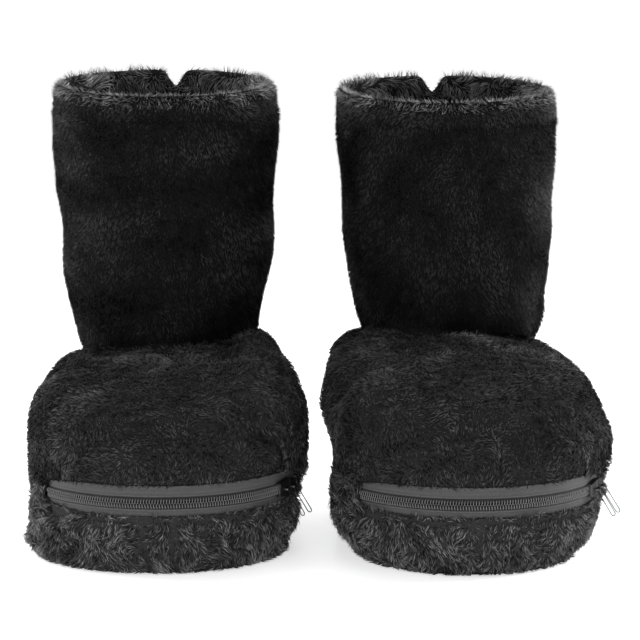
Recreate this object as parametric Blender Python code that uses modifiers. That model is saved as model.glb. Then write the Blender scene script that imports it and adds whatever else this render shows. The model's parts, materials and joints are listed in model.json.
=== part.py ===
"""A pair of heated plush boots, each with a zip across its toe.

Metres, +Z up, toes towards -Y. Both boots are made by the same functions, in a boot's own frame:
its origin lies on the floor, under the centre of the circle that the toe and the zip follow.
"""

import math

import bmesh
import bpy
from mathutils import Matrix, Vector

# Gaps between pieces that touch on the real boot
FIT = 0.0003
LAYER_GAP = 0.0006
SEAM_GAP = 0.0005

# Plan of the foot: a toe circle and a smaller heel circle, joined by straight sides
TOE_RADIUS = 0.0915
HEEL_RADIUS = 0.0675
HEEL_BACK = 0.140

# How the two boots stand: the gap between them where they are broadest, and how far their toes
# turn out. Plush settles, so each has its own crease and rim heights.
BOOTS_GAP = 0.0144
LEFT_TOE_OUT = 3.6
RIGHT_TOE_OUT = 6.2
LEFT_CREASE_HEIGHT = 0.1190
RIGHT_CREASE_HEIGHT = 0.1288
LEFT_RIM_HEIGHT = 0.3095
RIGHT_RIM_HEIGHT = 0.3055

# Soft walls
PLUSH_THICK = 0.0060
LINING_THICK = 0.0050
LIP_THICK = 0.0016
PADDING_THICK = 0.0050

# Sole stack, from the floor up
OUTSOLE_THICK = 0.0040
FOAM_THICK = 0.0157
SHEET_THICK = 0.0015
FOOTBED_THICK = 0.0050
FOOTBED_RIM_HEIGHT = 0.0395

# Lower plush band, as heights and how far it stands out of the outline there
BAND_SECTION = (
    (0.0010, -0.0120),
    (0.0040, -0.0088),
    (0.0090, -0.0050),
    (0.0155, -0.0022),
    (0.0240, 0.0002),
    (0.0330, 0.0014),
)
BAND_THICK = 0.0038
SOLE_INSET = 0.0139

# Upper over the foot
UPPER_BELLY = 0.0043
UPPER_BELLY_HEIGHT = 0.087
INSTEP_FULLNESS = 2.3
CREASE_DEPTH = 0.0040

# Ankle crease and shaft
SHAFT_BACK = 0.135
RIM_HALF_WIDTH = 0.0798
RIM_HALF_DEPTH = 0.0760
CREASE_RISE = 0.012
CREASE_TILT = 0.004
RIM_FALL = 0.0045
# Height, width and depth of the shaft's sections, from the crease to the rim
SHAFT_SHARES = (
    (0.00, 0.800, 0.950),
    (0.11, 0.824, 0.955),
    (0.33, 0.915, 0.972),
    (0.58, 0.942, 0.985),
    (0.80, 0.982, 0.995),
    (1.00, 1.000, 1.000),
)
SHAFT_INNER_SHARES = (
    (0.00, 0.800, 0.950),
    (0.33, 0.915, 0.972),
    (1.00, 1.000, 1.000),
)

# Rolled collar with a notch at the back seam
COLLAR_HEIGHT = 0.018
COLLAR_PROUD = 0.0010
NOTCH_DEPTH = 0.013
NOTCH_HALF_WIDTH = 0.0085

# Zip across the toe, in degrees from the toe's tip
ZIP_HEIGHT = 0.0500
ZIP_LEFT_END = -58.5
ZIP_RIGHT_END = 81.5
LIP_LEFT_END = -64.5
LIP_RIGHT_END = 87.0
LIP_GAP_ABOVE = 0.0115
LIP_GAP_BELOW = 0.0085
TAPE_RADIUS = 0.0886
TAPE_THICK = 0.0007
TAPE_WIDTH = 0.0138
TAPE_HALF_SLIT = 0.0012
CHAIN_HALF_WIDTH = 0.0030
TOOTH_THICK = 0.0023
TOOTH_PITCH = 0.0028
TOOTH_DEPTH = 0.0006
TEETH_GAP = 0.0003
TEETH_SPREAD = 0.0014
STOP_LENGTH = 0.0022
STOP_OVERHANG = 0.0006

# Sliders, head to head, and their wire pulls
SLIDER_A_AT = 61.0
SLIDER_B_AT = 69.4
SLIDER_LENGTH = 0.0126
SLIDER_TAIL_HALF_WIDTH = 0.0046
SLIDER_HEAD_HALF_WIDTH = 0.0060
SLIDER_WALL = 0.0011
SLIDER_PLATE = 0.0012
SLIDER_POST_WIDTH = 0.0016
SLIDER_POST_LENGTH = 0.0030
SLIDER_POST_FROM_HEAD = 0.0008
CROWN_LENGTH = 0.0062
CROWN_BAR_THICK = 0.0009
CROWN_BAR_WIDTH = 0.0011
CROWN_LEG = 0.0012
CROWN_TOWARDS_HEAD = 0.0018
PULL_WIRE = 0.0008
PULL_LENGTH = 0.0225
PULL_END_WIDTH = 0.0036
PULL_LEAN = 33.0

# Heating circuit
WIRE_DIAMETER = 0.0024
WIRE_RUN_SPACING = 0.018
WIRE_END_TO_HEEL = 0.0475
WIRE_TURN_TO_HEEL = 0.0895
WIRE_TOE_TURN = -0.022
WIRE_TOE_RADIUS = 0.062
CUTOUT_LENGTH = 0.014
CUTOUT_WIDTH = 0.006
CUTOUT_HEIGHT = 0.0027
CUTOUT_BACK = 0.060
LEAD_DIAMETER = 0.0016
LEAD_HALF_SPACING = 0.0020

# Power socket in the heel
SOCKET_HEIGHT = 0.0190
SOCKET_LENGTH = 0.0185
SOCKET_RADIUS = 0.0040
SOCKET_FLANGE_RADIUS = 0.0055
SOCKET_FLANGE_THICK = 0.0015
SOCKET_BORE_RADIUS = 0.0029
SOCKET_BORE_DEPTH = 0.0100
SOCKET_PIN_RADIUS = 0.0010
NUT_RADIUS = 0.0054
NUT_THICK = 0.0025
NOTCH_IN_FOAM_HALF_WIDTH = 0.0070
NOTCH_IN_FOAM_LENGTH = 0.0295
CUT_OVERRUN = 0.002

# How finely the curves are cut
SHAFT_STOPS = 28
ROUND_SIDES = 12

TANGENT = 90.0 + math.degrees(math.asin((TOE_RADIUS - HEEL_RADIUS) / HEEL_BACK))
BOOTS_APART = 2 * (TOE_RADIUS + UPPER_BELLY) + BOOTS_GAP
WIRE_HEEL_END = HEEL_BACK + HEEL_RADIUS - WIRE_END_TO_HEEL
WIRE_HEEL_TURN = HEEL_BACK + HEEL_RADIUS - WIRE_TURN_TO_HEEL
CHAIN_RADIUS = TAPE_RADIUS + TAPE_THICK + FIT
PLUSH_INSIDE = -LIP_THICK
LINING_OUTSIDE = PLUSH_INSIDE - LAYER_GAP
FOAM_FLOOR = OUTSOLE_THICK + FIT
SHEET_FLOOR = FOAM_FLOOR + FOAM_THICK + FIT
WIRE_HEIGHT = SHEET_FLOOR + SHEET_THICK + FIT + WIRE_DIAMETER / 2
FOOTBED_FLOOR = WIRE_HEIGHT + WIRE_DIAMETER / 2 + FIT
LOWER_TAPE_EDGE = ZIP_HEIGHT - TAPE_HALF_SLIT - TAPE_WIDTH
UPPER_TAPE_EDGE = ZIP_HEIGHT + TAPE_HALF_SLIT + TAPE_WIDTH


def steps(start, end, count):
    """Evenly spaced values from start up to, but not with, end."""
    return [start + (end - start) * i / count for i in range(count)]


def outline_stops():
    """Where the sole's outline has its points, as (share of the way to the heel, outward angle)."""
    toe_angles = steps(-TANGENT, LIP_LEFT_END, 3)
    toe_angles += steps(LIP_LEFT_END, LIP_LEFT_END + 8.0, 2)
    toe_angles += steps(LIP_LEFT_END + 8.0, LIP_RIGHT_END - 8.0, 14)
    toe_angles += steps(LIP_RIGHT_END - 8.0, LIP_RIGHT_END, 2)
    toe_angles += steps(LIP_RIGHT_END, TANGENT, 1)
    stops = [(0.0, angle) for angle in toe_angles]
    stops += [(share, TANGENT) for share in steps(0.0, 1.0, 2)]
    stops += [(1.0, angle) for angle in steps(TANGENT, 360.0 - TANGENT, 10)]
    stops += [(share, -TANGENT) for share in steps(1.0, 0.0, 2)]
    return stops


OUTLINE_STOPS = outline_stops()


def outward(angle):
    """The level direction at this angle from the toe's tip, turning towards +X."""
    turn = math.radians(angle)
    return Vector((math.sin(turn), -math.cos(turn), 0.0))


def outline_point(stop, grow, height):
    """A point of the sole's outline, moved outwards by grow."""
    share, angle = stop
    radius = TOE_RADIUS + share * (HEEL_RADIUS - TOE_RADIUS) + grow
    return Vector((0.0, share * HEEL_BACK, height)) + radius * outward(angle)


def shaft_angle(stop):
    """The angle round the shaft that belongs to a point of the sole's outline."""
    front_angle, back_angle = 84.0, 112.0
    share, angle = stop
    if share == 0.0:
        return angle * front_angle / TANGENT
    if share == 1.0:
        from_heel = angle % 360.0 - 180.0
        return 180.0 + from_heel * (180.0 - back_angle) / (180.0 - TANGENT)
    return math.copysign(front_angle + share * (back_angle - front_angle), angle)


def shaft_point(angle, shares, inset, height):
    """A point of one of the shaft's oval sections."""
    turn = math.radians(angle)
    half_width = RIM_HALF_WIDTH * shares[1] - inset
    half_depth = RIM_HALF_DEPTH * shares[2] - inset
    x = half_width * math.sin(turn)
    return Vector((x, SHAFT_BACK - half_depth * math.cos(turn), height))


def crease_height(boot, angle):
    """The ankle crease is highest in front, and higher on the side that faces the other boot."""
    turn = math.radians(angle)
    tilt = CREASE_TILT * boot["inner_side"] * math.sin(turn)
    return boot["crease"] + CREASE_RISE * math.cos(turn) + tilt


def rim_height(boot, angle):
    return boot["rim"] - RIM_FALL * math.cos(math.radians(angle))


def lip_gap(stop, widest):
    """How far a lip of the zip's window lies from the zip, when it is this far at the widest."""
    share, angle = stop
    middle = (LIP_LEFT_END + LIP_RIGHT_END) / 2
    reach = abs(angle - middle) / (LIP_RIGHT_END - middle)
    if share > 0.0 or reach >= 1.0:
        return SEAM_GAP / 2
    return SEAM_GAP / 2 + widest * math.sqrt(1.0 - reach**6)


def lower_lip(stop):
    return ZIP_HEIGHT - lip_gap(stop, LIP_GAP_BELOW)


def upper_lip(stop):
    return ZIP_HEIGHT + lip_gap(stop, LIP_GAP_ABOVE)


def material(name, grey, roughness, metallic=0.0):
    found = bpy.data.materials.get(name)
    if found:
        return found
    made = bpy.data.materials.new(name)
    made.use_nodes = True
    shader = made.node_tree.nodes["Principled BSDF"]
    shader.inputs["Base Color"].default_value = (grey, grey, grey, 1.0)
    shader.inputs["Roughness"].default_value = roughness
    shader.inputs["Metallic"].default_value = metallic
    made.diffuse_color = (grey, grey, grey, 1.0)
    return made


def outer_plush():
    return material("outer_plush", 0.018, 0.95)


def lining_plush():
    return material("lining_plush", 0.030, 0.95)


def foam():
    return material("foam", 0.45, 0.9)


def outsole_rubber():
    return material("outsole_rubber", 0.03, 0.8)


def felt():
    return material("felt", 0.55, 0.9)


def zip_tape():
    return material("zip_tape", 0.09, 0.8)


def zip_nylon():
    return material("zip_nylon", 0.12, 0.45)


def zip_metal():
    return material("zip_metal", 0.22, 0.3, 1.0)


def wire_sleeve():
    return material("wire_sleeve", 0.6, 0.5)


def black_plastic():
    return material("black_plastic", 0.02, 0.4)


def add_piece(boot, name, data, finish, place=None):
    """An object of the boot, carried by the boot's empty or by another one."""
    piece = bpy.data.objects.new(f"{boot['side']}_{name}", data)
    boot["collection"].objects.link(piece)
    piece.parent = place or boot["empty"]
    data.materials.clear()
    data.materials.append(finish)
    return piece


def add_empty(boot, name, location, turn=0.0, parent=None):
    empty = bpy.data.objects.new(f"{boot['side']}_{name}", None)
    empty.empty_display_size = SLIDER_LENGTH
    boot["collection"].objects.link(empty)
    empty.parent = parent or boot["empty"]
    empty.location = location
    empty.rotation_euler.z = math.radians(turn)
    return empty


def loft(name, rings, joined=False):
    """One closed surface through rings of points: a bar with filled ends, or a hoop when joined."""
    made = bmesh.new()
    loops = [[made.verts.new(point) for point in ring] for ring in rings]
    following = loops[1:] + loops[:1] if joined else loops[1:]
    for near, far in zip(loops, following):
        for i, vertex in enumerate(near):
            j = (i + 1) % len(near)
            made.faces.new((vertex, near[j], far[j], far[i]))
    if not joined:
        made.faces.new(loops[0])
        made.faces.new(loops[-1])
    bmesh.ops.recalc_face_normals(made, faces=made.faces)
    mesh = bpy.data.meshes.new(name)
    made.to_mesh(mesh)
    made.free()
    mesh.shade_smooth()
    mesh.set_sharp_from_angle(angle=math.radians(40.0))
    return mesh


def plate(name, outlines, thickness):
    """A flat outline, with holes if there are more outlines than one, as an extruded 2D curve."""
    curve = bpy.data.curves.new(name, "CURVE")
    curve.dimensions = "2D"
    curve.fill_mode = "BOTH"
    curve.extrude = thickness / 2
    for outline in outlines:
        spline = curve.splines.new("POLY")
        spline.points.add(len(outline) - 1)
        for point, place in zip(spline.points, outline):
            point.co = (place[0], place[1], 0.0, 1.0)
        spline.use_cyclic_u = True
    return curve


def wire(name, points, diameter, joined=False, resolution=1):
    """A round wire along points, with filled ends."""
    curve = bpy.data.curves.new(name, "CURVE")
    curve.dimensions = "3D"
    curve.bevel_depth = diameter / 2
    curve.bevel_resolution = resolution
    curve.use_fill_caps = not joined
    spline = curve.splines.new("POLY")
    spline.points.add(len(points) - 1)
    for point, place in zip(spline.points, points):
        point.co = (*place, 1.0)
    spline.use_cyclic_u = joined
    return curve


def as_mesh(curve):
    """The mesh of a curve, with its loose caps welded."""
    holder = bpy.data.objects.new(curve.name, curve)
    bpy.context.scene.collection.objects.link(holder)
    graph = bpy.context.evaluated_depsgraph_get()
    mesh = bpy.data.meshes.new_from_object(holder.evaluated_get(graph))
    bpy.data.objects.remove(holder)
    made = bmesh.new()
    made.from_mesh(mesh)
    bmesh.ops.remove_doubles(made, verts=made.verts, dist=FIT / 100)
    bmesh.ops.recalc_face_normals(made, faces=made.faces)
    made.to_mesh(mesh)
    made.free()
    return mesh


def add_helper(boot, name, mesh, parent, location=(0.0, 0.0, 0.0)):
    """A mesh that cuts or is joined to a piece, kept out of the model itself."""
    helper = bpy.data.objects.new(f"{boot['side']}_{name}", mesh)
    boot["cutters"].objects.link(helper)
    helper.parent = parent
    helper.location = location
    helper.hide_render = True
    helper.display_type = "WIRE"
    return helper


def combine(piece, helper, operation):
    modifier = piece.modifiers.new(helper.name, "BOOLEAN")
    modifier.operation = operation
    modifier.solver = "EXACT"
    modifier.object = helper


def ring_on_outline(grow, height):
    """A ring round the sole's outline. The height is a value, or a function of the stop."""
    level = height if callable(height) else lambda stop: height
    return [outline_point(stop, grow, level(stop)) for stop in OUTLINE_STOPS]


def band_grow(height):
    """How far the plush band stands out of the sole's outline at a height."""
    for (low, near), (high, far) in zip(BAND_SECTION, BAND_SECTION[1:]):
        if height <= high:
            return near + (far - near) * (height - low) / (high - low)
    return BAND_SECTION[-1][1]


def inside_padding(height):
    """How far out of the outline the pieces inside the padding reach at a height."""
    return band_grow(height) - BAND_THICK - PADDING_THICK - 2 * (LAYER_GAP + FIT)


def socket_face():
    """How far back the heel's surface lies, where the power socket's flange sits on it."""
    return HEEL_BACK + HEEL_RADIUS + band_grow(SOCKET_HEIGHT + SOCKET_FLANGE_RADIUS)


def heel_hole(boot):
    """The cutter for the hole through the heel that the power socket passes."""
    radius = SOCKET_RADIUS + FIT
    length = SOCKET_LENGTH + 2 * CUT_OVERRUN
    made = bmesh.new()
    turn = Matrix.Rotation(math.radians(90.0), 4, "X")
    bmesh.ops.create_cone(made, cap_ends=True, segments=ROUND_SIDES, radius1=radius,
                          radius2=radius, depth=length, matrix=turn)
    mesh = bpy.data.meshes.new("heel_hole")
    made.to_mesh(mesh)
    made.free()
    place = (0.0, socket_face() - SOCKET_LENGTH / 2, SOCKET_HEIGHT)
    return add_helper(boot, "heel_hole", mesh, boot["empty"], place)


def make_outsole(boot):
    """The flat non-slip bottom that the boot stands on."""
    edge = ring_on_outline(-SOLE_INSET, 0.0)
    outsole = add_piece(boot, "outsole", plate("outsole", [edge], OUTSOLE_THICK), outsole_rubber())
    outsole.location.z = OUTSOLE_THICK / 2


def make_sole_wall(boot, hole):
    """The bulging plush band round the sole, tucked in at the floor, up to the zip's lower lip."""
    rings = [ring_on_outline(grow, height) for height, grow in BAND_SECTION]
    rings.append(ring_on_outline(0.0, lower_lip))
    rings.append(ring_on_outline(PLUSH_INSIDE, lambda stop: lower_lip(stop) - FIT))
    rings.append(ring_on_outline(PLUSH_INSIDE, BAND_SECTION[-1][0]))
    for height, grow in reversed(BAND_SECTION[1:-1]):
        rings.append(ring_on_outline(grow - BAND_THICK, height))
    rings.append(ring_on_outline(BAND_SECTION[0][1] - LIP_THICK, BAND_SECTION[0][0]))
    band = add_piece(boot, "sole_wall", loft("sole_wall", rings, True), outer_plush())
    combine(band, hole, "DIFFERENCE")


def make_wall_padding(boot, hole):
    """The foam strip that keeps the plush band upright and round."""
    heights = [FOAM_FLOOR] + [height for height, grow in BAND_SECTION[2:-1]]
    gap = LAYER_GAP + FIT
    section = [(height, band_grow(height) - BAND_THICK - gap) for height in heights]
    section.append((LOWER_TAPE_EDGE - LAYER_GAP, PLUSH_INSIDE - gap))
    rings = [ring_on_outline(grow - PADDING_THICK, height) for height, grow in section]
    rings += [ring_on_outline(grow, height) for height, grow in reversed(section)]
    padding = add_piece(boot, "wall_padding", loft("wall_padding", rings, True), foam())
    combine(padding, hole, "DIFFERENCE")


def heel_reach(edge, aside):
    """How far back an outline reaches at this distance to the side of the heel's tip."""
    tip = max(range(len(edge)), key=lambda i: edge[i].y)
    back, beside = edge[tip], edge[tip - 1]
    return back.y + (beside.y - back.y) * aside / abs(beside.x)


def notched_outline(grow, height):
    """The sole's outline with a slot in the heel for the socket and its leads."""
    half = NOTCH_IN_FOAM_HALF_WIDTH
    edge = ring_on_outline(grow, height)
    tip = max(range(len(edge)), key=lambda i: edge[i].y)
    mouth = heel_reach(edge, half)
    front = HEEL_BACK + HEEL_RADIUS - NOTCH_IN_FOAM_LENGTH
    slot = [(half, mouth), (half, front), (-half, front), (-half, mouth)]
    return edge[:tip] + [Vector((x, y, height)) for x, y in slot] + edge[tip + 1:]


def make_foam_bed(boot):
    """The block of foam that fills the sole, with sides that slope like the band."""
    heights = (FOAM_FLOOR, FOAM_FLOOR + FOAM_THICK)
    rings = [notched_outline(inside_padding(height), height) for height in heights]
    add_piece(boot, "foam_bed", loft("foam_bed", rings), foam())


def make_heating_sheet(boot):
    """The felt sheet that carries the heating wire."""
    edge = notched_outline(inside_padding(SHEET_FLOOR), 0.0)
    sheet = add_piece(boot, "heating_sheet", plate("heating_sheet", [edge], SHEET_THICK), felt())
    sheet.location.z = SHEET_FLOOR + SHEET_THICK / 2


def arc_points(centre, radius, start, end, count):
    """Points on a level arc, both ends included. Angles turn from the toe's direction towards +X."""
    angles = steps(start, end, count) + [end]
    return [Vector((centre[0], centre[1], 0.0)) + radius * outward(angle) for angle in angles]


def heating_route():
    """The heating wire's path on the sheet: two runs up each side and one sweep round the toe."""
    turn_radius = WIRE_RUN_SPACING / 2
    first = WIRE_RUN_SPACING / 2
    last = first + 2 * WIRE_RUN_SPACING
    half = [Vector((first, WIRE_HEEL_END, 0.0))]
    half += arc_points((first + turn_radius, WIRE_TOE_TURN), turn_radius, -90.0, 90.0, 4)
    half += arc_points((last - turn_radius, WIRE_HEEL_TURN), turn_radius, 270.0, 90.0, 4)
    corner = math.degrees(math.asin(last / WIRE_TOE_RADIUS))
    sweep = arc_points((0.0, 0.0), WIRE_TOE_RADIUS, corner, -corner, 8)
    other_half = [Vector((-point.x, point.y, 0.0)) for point in reversed(half)]
    return half + sweep + other_half


def make_heating_wire(boot):
    route = heating_route()
    curve = wire("heating_wire", route, WIRE_DIAMETER)
    heater = add_piece(boot, "heating_wire", curve, wire_sleeve())
    heater.location.z = WIRE_HEIGHT


def make_thermal_cutout(boot):
    """The thermal fuse that lies between the first two runs of the wire."""
    made = bmesh.new()
    bmesh.ops.create_cube(made, size=1.0)
    size = (CUTOUT_WIDTH, CUTOUT_LENGTH, CUTOUT_HEIGHT)
    bmesh.ops.scale(made, vec=size, verts=made.verts)
    mesh = bpy.data.meshes.new("thermal_cutout")
    made.to_mesh(mesh)
    made.free()
    cutout = add_piece(boot, "thermal_cutout", mesh, black_plastic())
    floor = SHEET_FLOOR + SHEET_THICK + FIT
    cutout.location = (0.0, CUTOUT_BACK, floor + CUTOUT_HEIGHT / 2)
    rounding = cutout.modifiers.new("edges", "BEVEL")
    rounding.width = CUTOUT_HEIGHT / 6
    rounding.segments = 1


def make_leads(boot):
    """The two leads from the back of the socket up to the ends of the heating wire."""
    start_back = socket_face() - SOCKET_LENGTH - FIT
    end_back = WIRE_HEEL_END + FIT
    lift = WIRE_HEIGHT - SOCKET_HEIGHT
    sideways = WIRE_RUN_SPACING / 2 - LEAD_HALF_SPACING
    for name, side in (("lead_one", -1.0), ("lead_two", 1.0)):
        route = []
        for share in steps(0.0, 1.0, 8) + [1.0]:
            ease = share * share * (3.0 - 2.0 * share)
            rise = min(1.0, 2.0 * share)
            rise = rise * rise * (3.0 - 2.0 * rise)
            x = side * (LEAD_HALF_SPACING + sideways * ease)
            y = start_back + (end_back - start_back) * share
            route.append((x, y, SOCKET_HEIGHT + lift * rise))
        add_piece(boot, name, wire(name, route, LEAD_DIAMETER), wire_sleeve())


def make_socket(boot):
    """The low-voltage socket: a barrel with a flange outside and a centre pin in its bore."""
    back = SOCKET_LENGTH
    mouth = back + SOCKET_FLANGE_THICK
    bore_floor = mouth - SOCKET_BORE_DEPTH
    profile = [
        (0.0, back),
        (SOCKET_PIN_RADIUS, back),
        (SOCKET_PIN_RADIUS, bore_floor),
        (SOCKET_BORE_RADIUS, bore_floor),
        (SOCKET_BORE_RADIUS, mouth),
        (SOCKET_FLANGE_RADIUS, mouth),
        (SOCKET_FLANGE_RADIUS, back + FIT),
        (SOCKET_RADIUS, back + FIT),
        (SOCKET_RADIUS, 0.0),
        (0.0, 0.0),
    ]
    mesh = bpy.data.meshes.new("dc_socket")
    edges = [(i, i + 1) for i in range(len(profile) - 1)]
    mesh.from_pydata([(radius, 0.0, along) for radius, along in profile], edges, [])
    socket = add_piece(boot, "dc_socket", mesh, black_plastic())
    turned = socket.modifiers.new("turned", "SCREW")
    turned.steps = ROUND_SIDES
    turned.render_steps = ROUND_SIDES
    turned.use_merge_vertices = True
    turned.merge_threshold = FIT / 30
    socket.rotation_euler.x = math.radians(-90.0)
    socket.location = (0.0, socket_face() - SOCKET_LENGTH, SOCKET_HEIGHT)


def circle_points(radius, count):
    return [radius * outward(angle) for angle in steps(0.0, 360.0, count)]


def make_socket_nut(boot):
    """The hexagon nut that holds the socket against the inside of the padding."""
    outlines = [circle_points(NUT_RADIUS, 6), circle_points(SOCKET_RADIUS + FIT, ROUND_SIDES)]
    nut = add_piece(boot, "socket_nut", plate("socket_nut", outlines, NUT_THICK), zip_metal())
    nut.rotation_euler.x = math.radians(-90.0)
    seat = ring_on_outline(inside_padding(SOCKET_HEIGHT - NUT_RADIUS), 0.0)
    nut.location = (0.0, heel_reach(seat, NUT_RADIUS) - NUT_THICK / 2, SOCKET_HEIGHT)


def make_footbed(boot):
    """The plush tray that the foot stands in, over the heater."""
    outside = inside_padding(FOOTBED_FLOOR)
    inside = outside - FOOTBED_THICK
    floor = FOOTBED_FLOOR + FOOTBED_THICK
    rings = [
        ring_on_outline(outside, FOOTBED_FLOOR),
        ring_on_outline(outside, FOOTBED_RIM_HEIGHT),
        ring_on_outline(inside, FOOTBED_RIM_HEIGHT),
        ring_on_outline(inside, floor),
    ]
    add_piece(boot, "footbed", loft("footbed", rings), lining_plush())


def upper_rings(boot, grow, drop, inset, turns):
    """Rings of the upper from its widest height to the ankle, as a rounded shoulder.

    grow is added to the sole's outline, drop lowers the top, and inset narrows the ankle.
    """
    rings = []
    for turn in turns:
        out_share = math.cos(math.radians(turn)) ** (2.0 / INSTEP_FULLNESS)
        up_share = math.sin(math.radians(turn)) ** (2.0 / INSTEP_FULLNESS)
        if turn == 90.0:
            out_share = 0.0
        ring = []
        for stop in OUTLINE_STOPS:
            angle = shaft_angle(stop)
            low = outline_point(stop, grow, UPPER_BELLY_HEIGHT)
            top = crease_height(boot, angle) - SEAM_GAP / 2 - drop
            high = shaft_point(angle, SHAFT_SHARES[0], inset, top)
            point = high.lerp(low, out_share)
            point.z = UPPER_BELLY_HEIGHT + (top - UPPER_BELLY_HEIGHT) * up_share
            ring.append(point)
        rings.append(ring)
    return rings


def make_vamp_plush(boot):
    """The plush upper: a full dome over the toes, rising to the crease at the ankle."""
    turn = math.radians(40.0)

    def swell(stop):
        return UPPER_BELLY_HEIGHT - (UPPER_BELLY_HEIGHT - upper_lip(stop)) * math.cos(turn)

    rings = [ring_on_outline(PLUSH_INSIDE, lambda stop: upper_lip(stop) + FIT)]
    rings.append(ring_on_outline(0.0, upper_lip))
    rings.append(ring_on_outline(UPPER_BELLY * math.sin(turn), swell))
    rings += upper_rings(boot, UPPER_BELLY, 0.0, 0.0, (0.0, 22.0, 45.0, 68.0, 90.0))
    rings += upper_rings(boot, 0.0, 0.0, CREASE_DEPTH, (90.0,))
    rings += upper_rings(boot, PLUSH_INSIDE, PLUSH_THICK, PLUSH_THICK, (90.0, 45.0, 0.0))
    add_piece(boot, "vamp_plush", loft("vamp_plush", rings, True), outer_plush())


def make_vamp_lining(boot):
    """The pile lining of the upper, which starts above the zip's tape."""
    inside = LINING_OUTSIDE - LINING_THICK
    near = PLUSH_THICK + LAYER_GAP
    far = near + LINING_THICK
    bottom = UPPER_TAPE_EDGE + LAYER_GAP
    rings = [ring_on_outline(inside, bottom)]
    rings += upper_rings(boot, inside, far, far, (0.0, 45.0, 90.0))
    rings += upper_rings(boot, LINING_OUTSIDE, near, near, (90.0, 45.0, 0.0))
    rings.append(ring_on_outline(LINING_OUTSIDE, bottom))
    add_piece(boot, "vamp_lining", loft("vamp_lining", rings, True), lining_plush())


def shaft_ring(boot, shares, inset, drop=0.0):
    """One level section of the shaft, from the crease at share 0 to the collar at share 1."""
    ring = []
    for angle in steps(0.0, 360.0, SHAFT_STOPS):
        low = crease_height(boot, angle) + SEAM_GAP / 2
        high = rim_height(boot, angle) - COLLAR_HEIGHT - SEAM_GAP / 2
        ring.append(shaft_point(angle, shares, inset, low + shares[0] * (high - low) - drop))
    return ring


def make_shaft_plush(boot):
    """The plush tube round the ankle and shin, tucked in at the crease."""
    rings = [shaft_ring(boot, SHAFT_SHARES[0], inset) for inset in (PLUSH_THICK, CREASE_DEPTH)]
    rings += [shaft_ring(boot, shares, 0.0) for shares in SHAFT_SHARES[1:]]
    rings += [shaft_ring(boot, shares, PLUSH_THICK) for shares in reversed(SHAFT_INNER_SHARES[1:])]
    add_piece(boot, "shaft_plush", loft("shaft_plush", rings, True), outer_plush())


def make_shaft_lining(boot):
    """The pile lining of the shaft. Its lower edge slants to meet the lining of the upper."""
    depth = PLUSH_THICK + LAYER_GAP
    far = depth + LINING_THICK
    rings = [shaft_ring(boot, SHAFT_INNER_SHARES[0], depth, depth)]
    rings += [shaft_ring(boot, shares, depth) for shares in SHAFT_INNER_SHARES]
    rings += [shaft_ring(boot, shares, far) for shares in reversed(SHAFT_INNER_SHARES)]
    rings.append(shaft_ring(boot, SHAFT_INNER_SHARES[0], far, far))
    add_piece(boot, "shaft_lining", loft("shaft_lining", rings, True), lining_plush())


def collar_angles():
    """Angles round the rim, closer together at the notch."""
    notch = math.degrees(NOTCH_HALF_WIDTH / RIM_HALF_DEPTH)
    angles = steps(notch - 180.0, 180.0 - notch, SHAFT_STOPS - 2)
    return angles + [180.0 - notch, 180.0 - notch / 2, 180.0, 180.0 + notch / 2]


def notch_depth(angle):
    """How far the collar dips at this angle: a V with round shoulders at the back seam."""
    notch = math.degrees(NOTCH_HALF_WIDTH / RIM_HALF_DEPTH)
    away = abs(abs(angle) - 180.0) / notch
    return NOTCH_DEPTH * max(0.0, 1.0 - away) ** 0.8


def make_collar(boot):
    """The rolled plush collar over the tops of the shaft and its lining."""
    thickness = PLUSH_THICK + LAYER_GAP + LINING_THICK
    # Inwards from the outer face, and upwards, as shares of the thickness and the height
    section_shares = ((0.0, 0.0), (-0.06, 0.45), (0.10, 0.86), (0.50, 1.0), (0.90, 0.86), (1.0, 0.0))
    rings = []
    for in_share, up_share in section_shares:
        ring = []
        for angle in collar_angles():
            floor = rim_height(boot, angle) - COLLAR_HEIGHT + SEAM_GAP / 2
            roof = rim_height(boot, angle) - notch_depth(angle)
            height = floor + up_share * (roof - floor)
            inset = thickness * in_share - COLLAR_PROUD * up_share
            ring.append(shaft_point(angle, SHAFT_SHARES[-1], inset, height))
        rings.append(ring)
    add_piece(boot, "collar", loft("collar", rings, True), outer_plush())


def make_tapes(boot):
    """The two woven tapes of the zip, behind the chain."""
    inner, outer = TAPE_RADIUS, TAPE_RADIUS + TAPE_THICK
    first, last = ZIP_LEFT_END - 2.5, ZIP_RIGHT_END + 2.5
    for name, side in (("lower_tape", -1.0), ("upper_tape", 1.0)):
        near = ZIP_HEIGHT + side * TAPE_HALF_SLIT
        far = near + side * TAPE_WIDTH
        rings = []
        for angle in steps(first, last, 22) + [last]:
            way = outward(angle)
            corners = ((inner, near), (outer, near), (outer, far), (inner, far))
            rings.append([radius * way + Vector((0.0, 0.0, height)) for radius, height in corners])
        add_piece(boot, name, loft(name, rings), zip_tape())


def teeth_spread(angle):
    """How far a row of teeth is pushed aside by the sliders' posts, which face each other."""
    reach = math.degrees(SLIDER_LENGTH / 2 / CHAIN_RADIUS)
    ramp = reach * 0.9
    start, end = SLIDER_A_AT - ramp * 0.5, SLIDER_B_AT + ramp * 0.5
    inside = min(angle - start, end - angle) / ramp
    share = min(1.0, max(0.0, inside))
    return TEETH_SPREAD * share * share * (3.0 - 2.0 * share)


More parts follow.
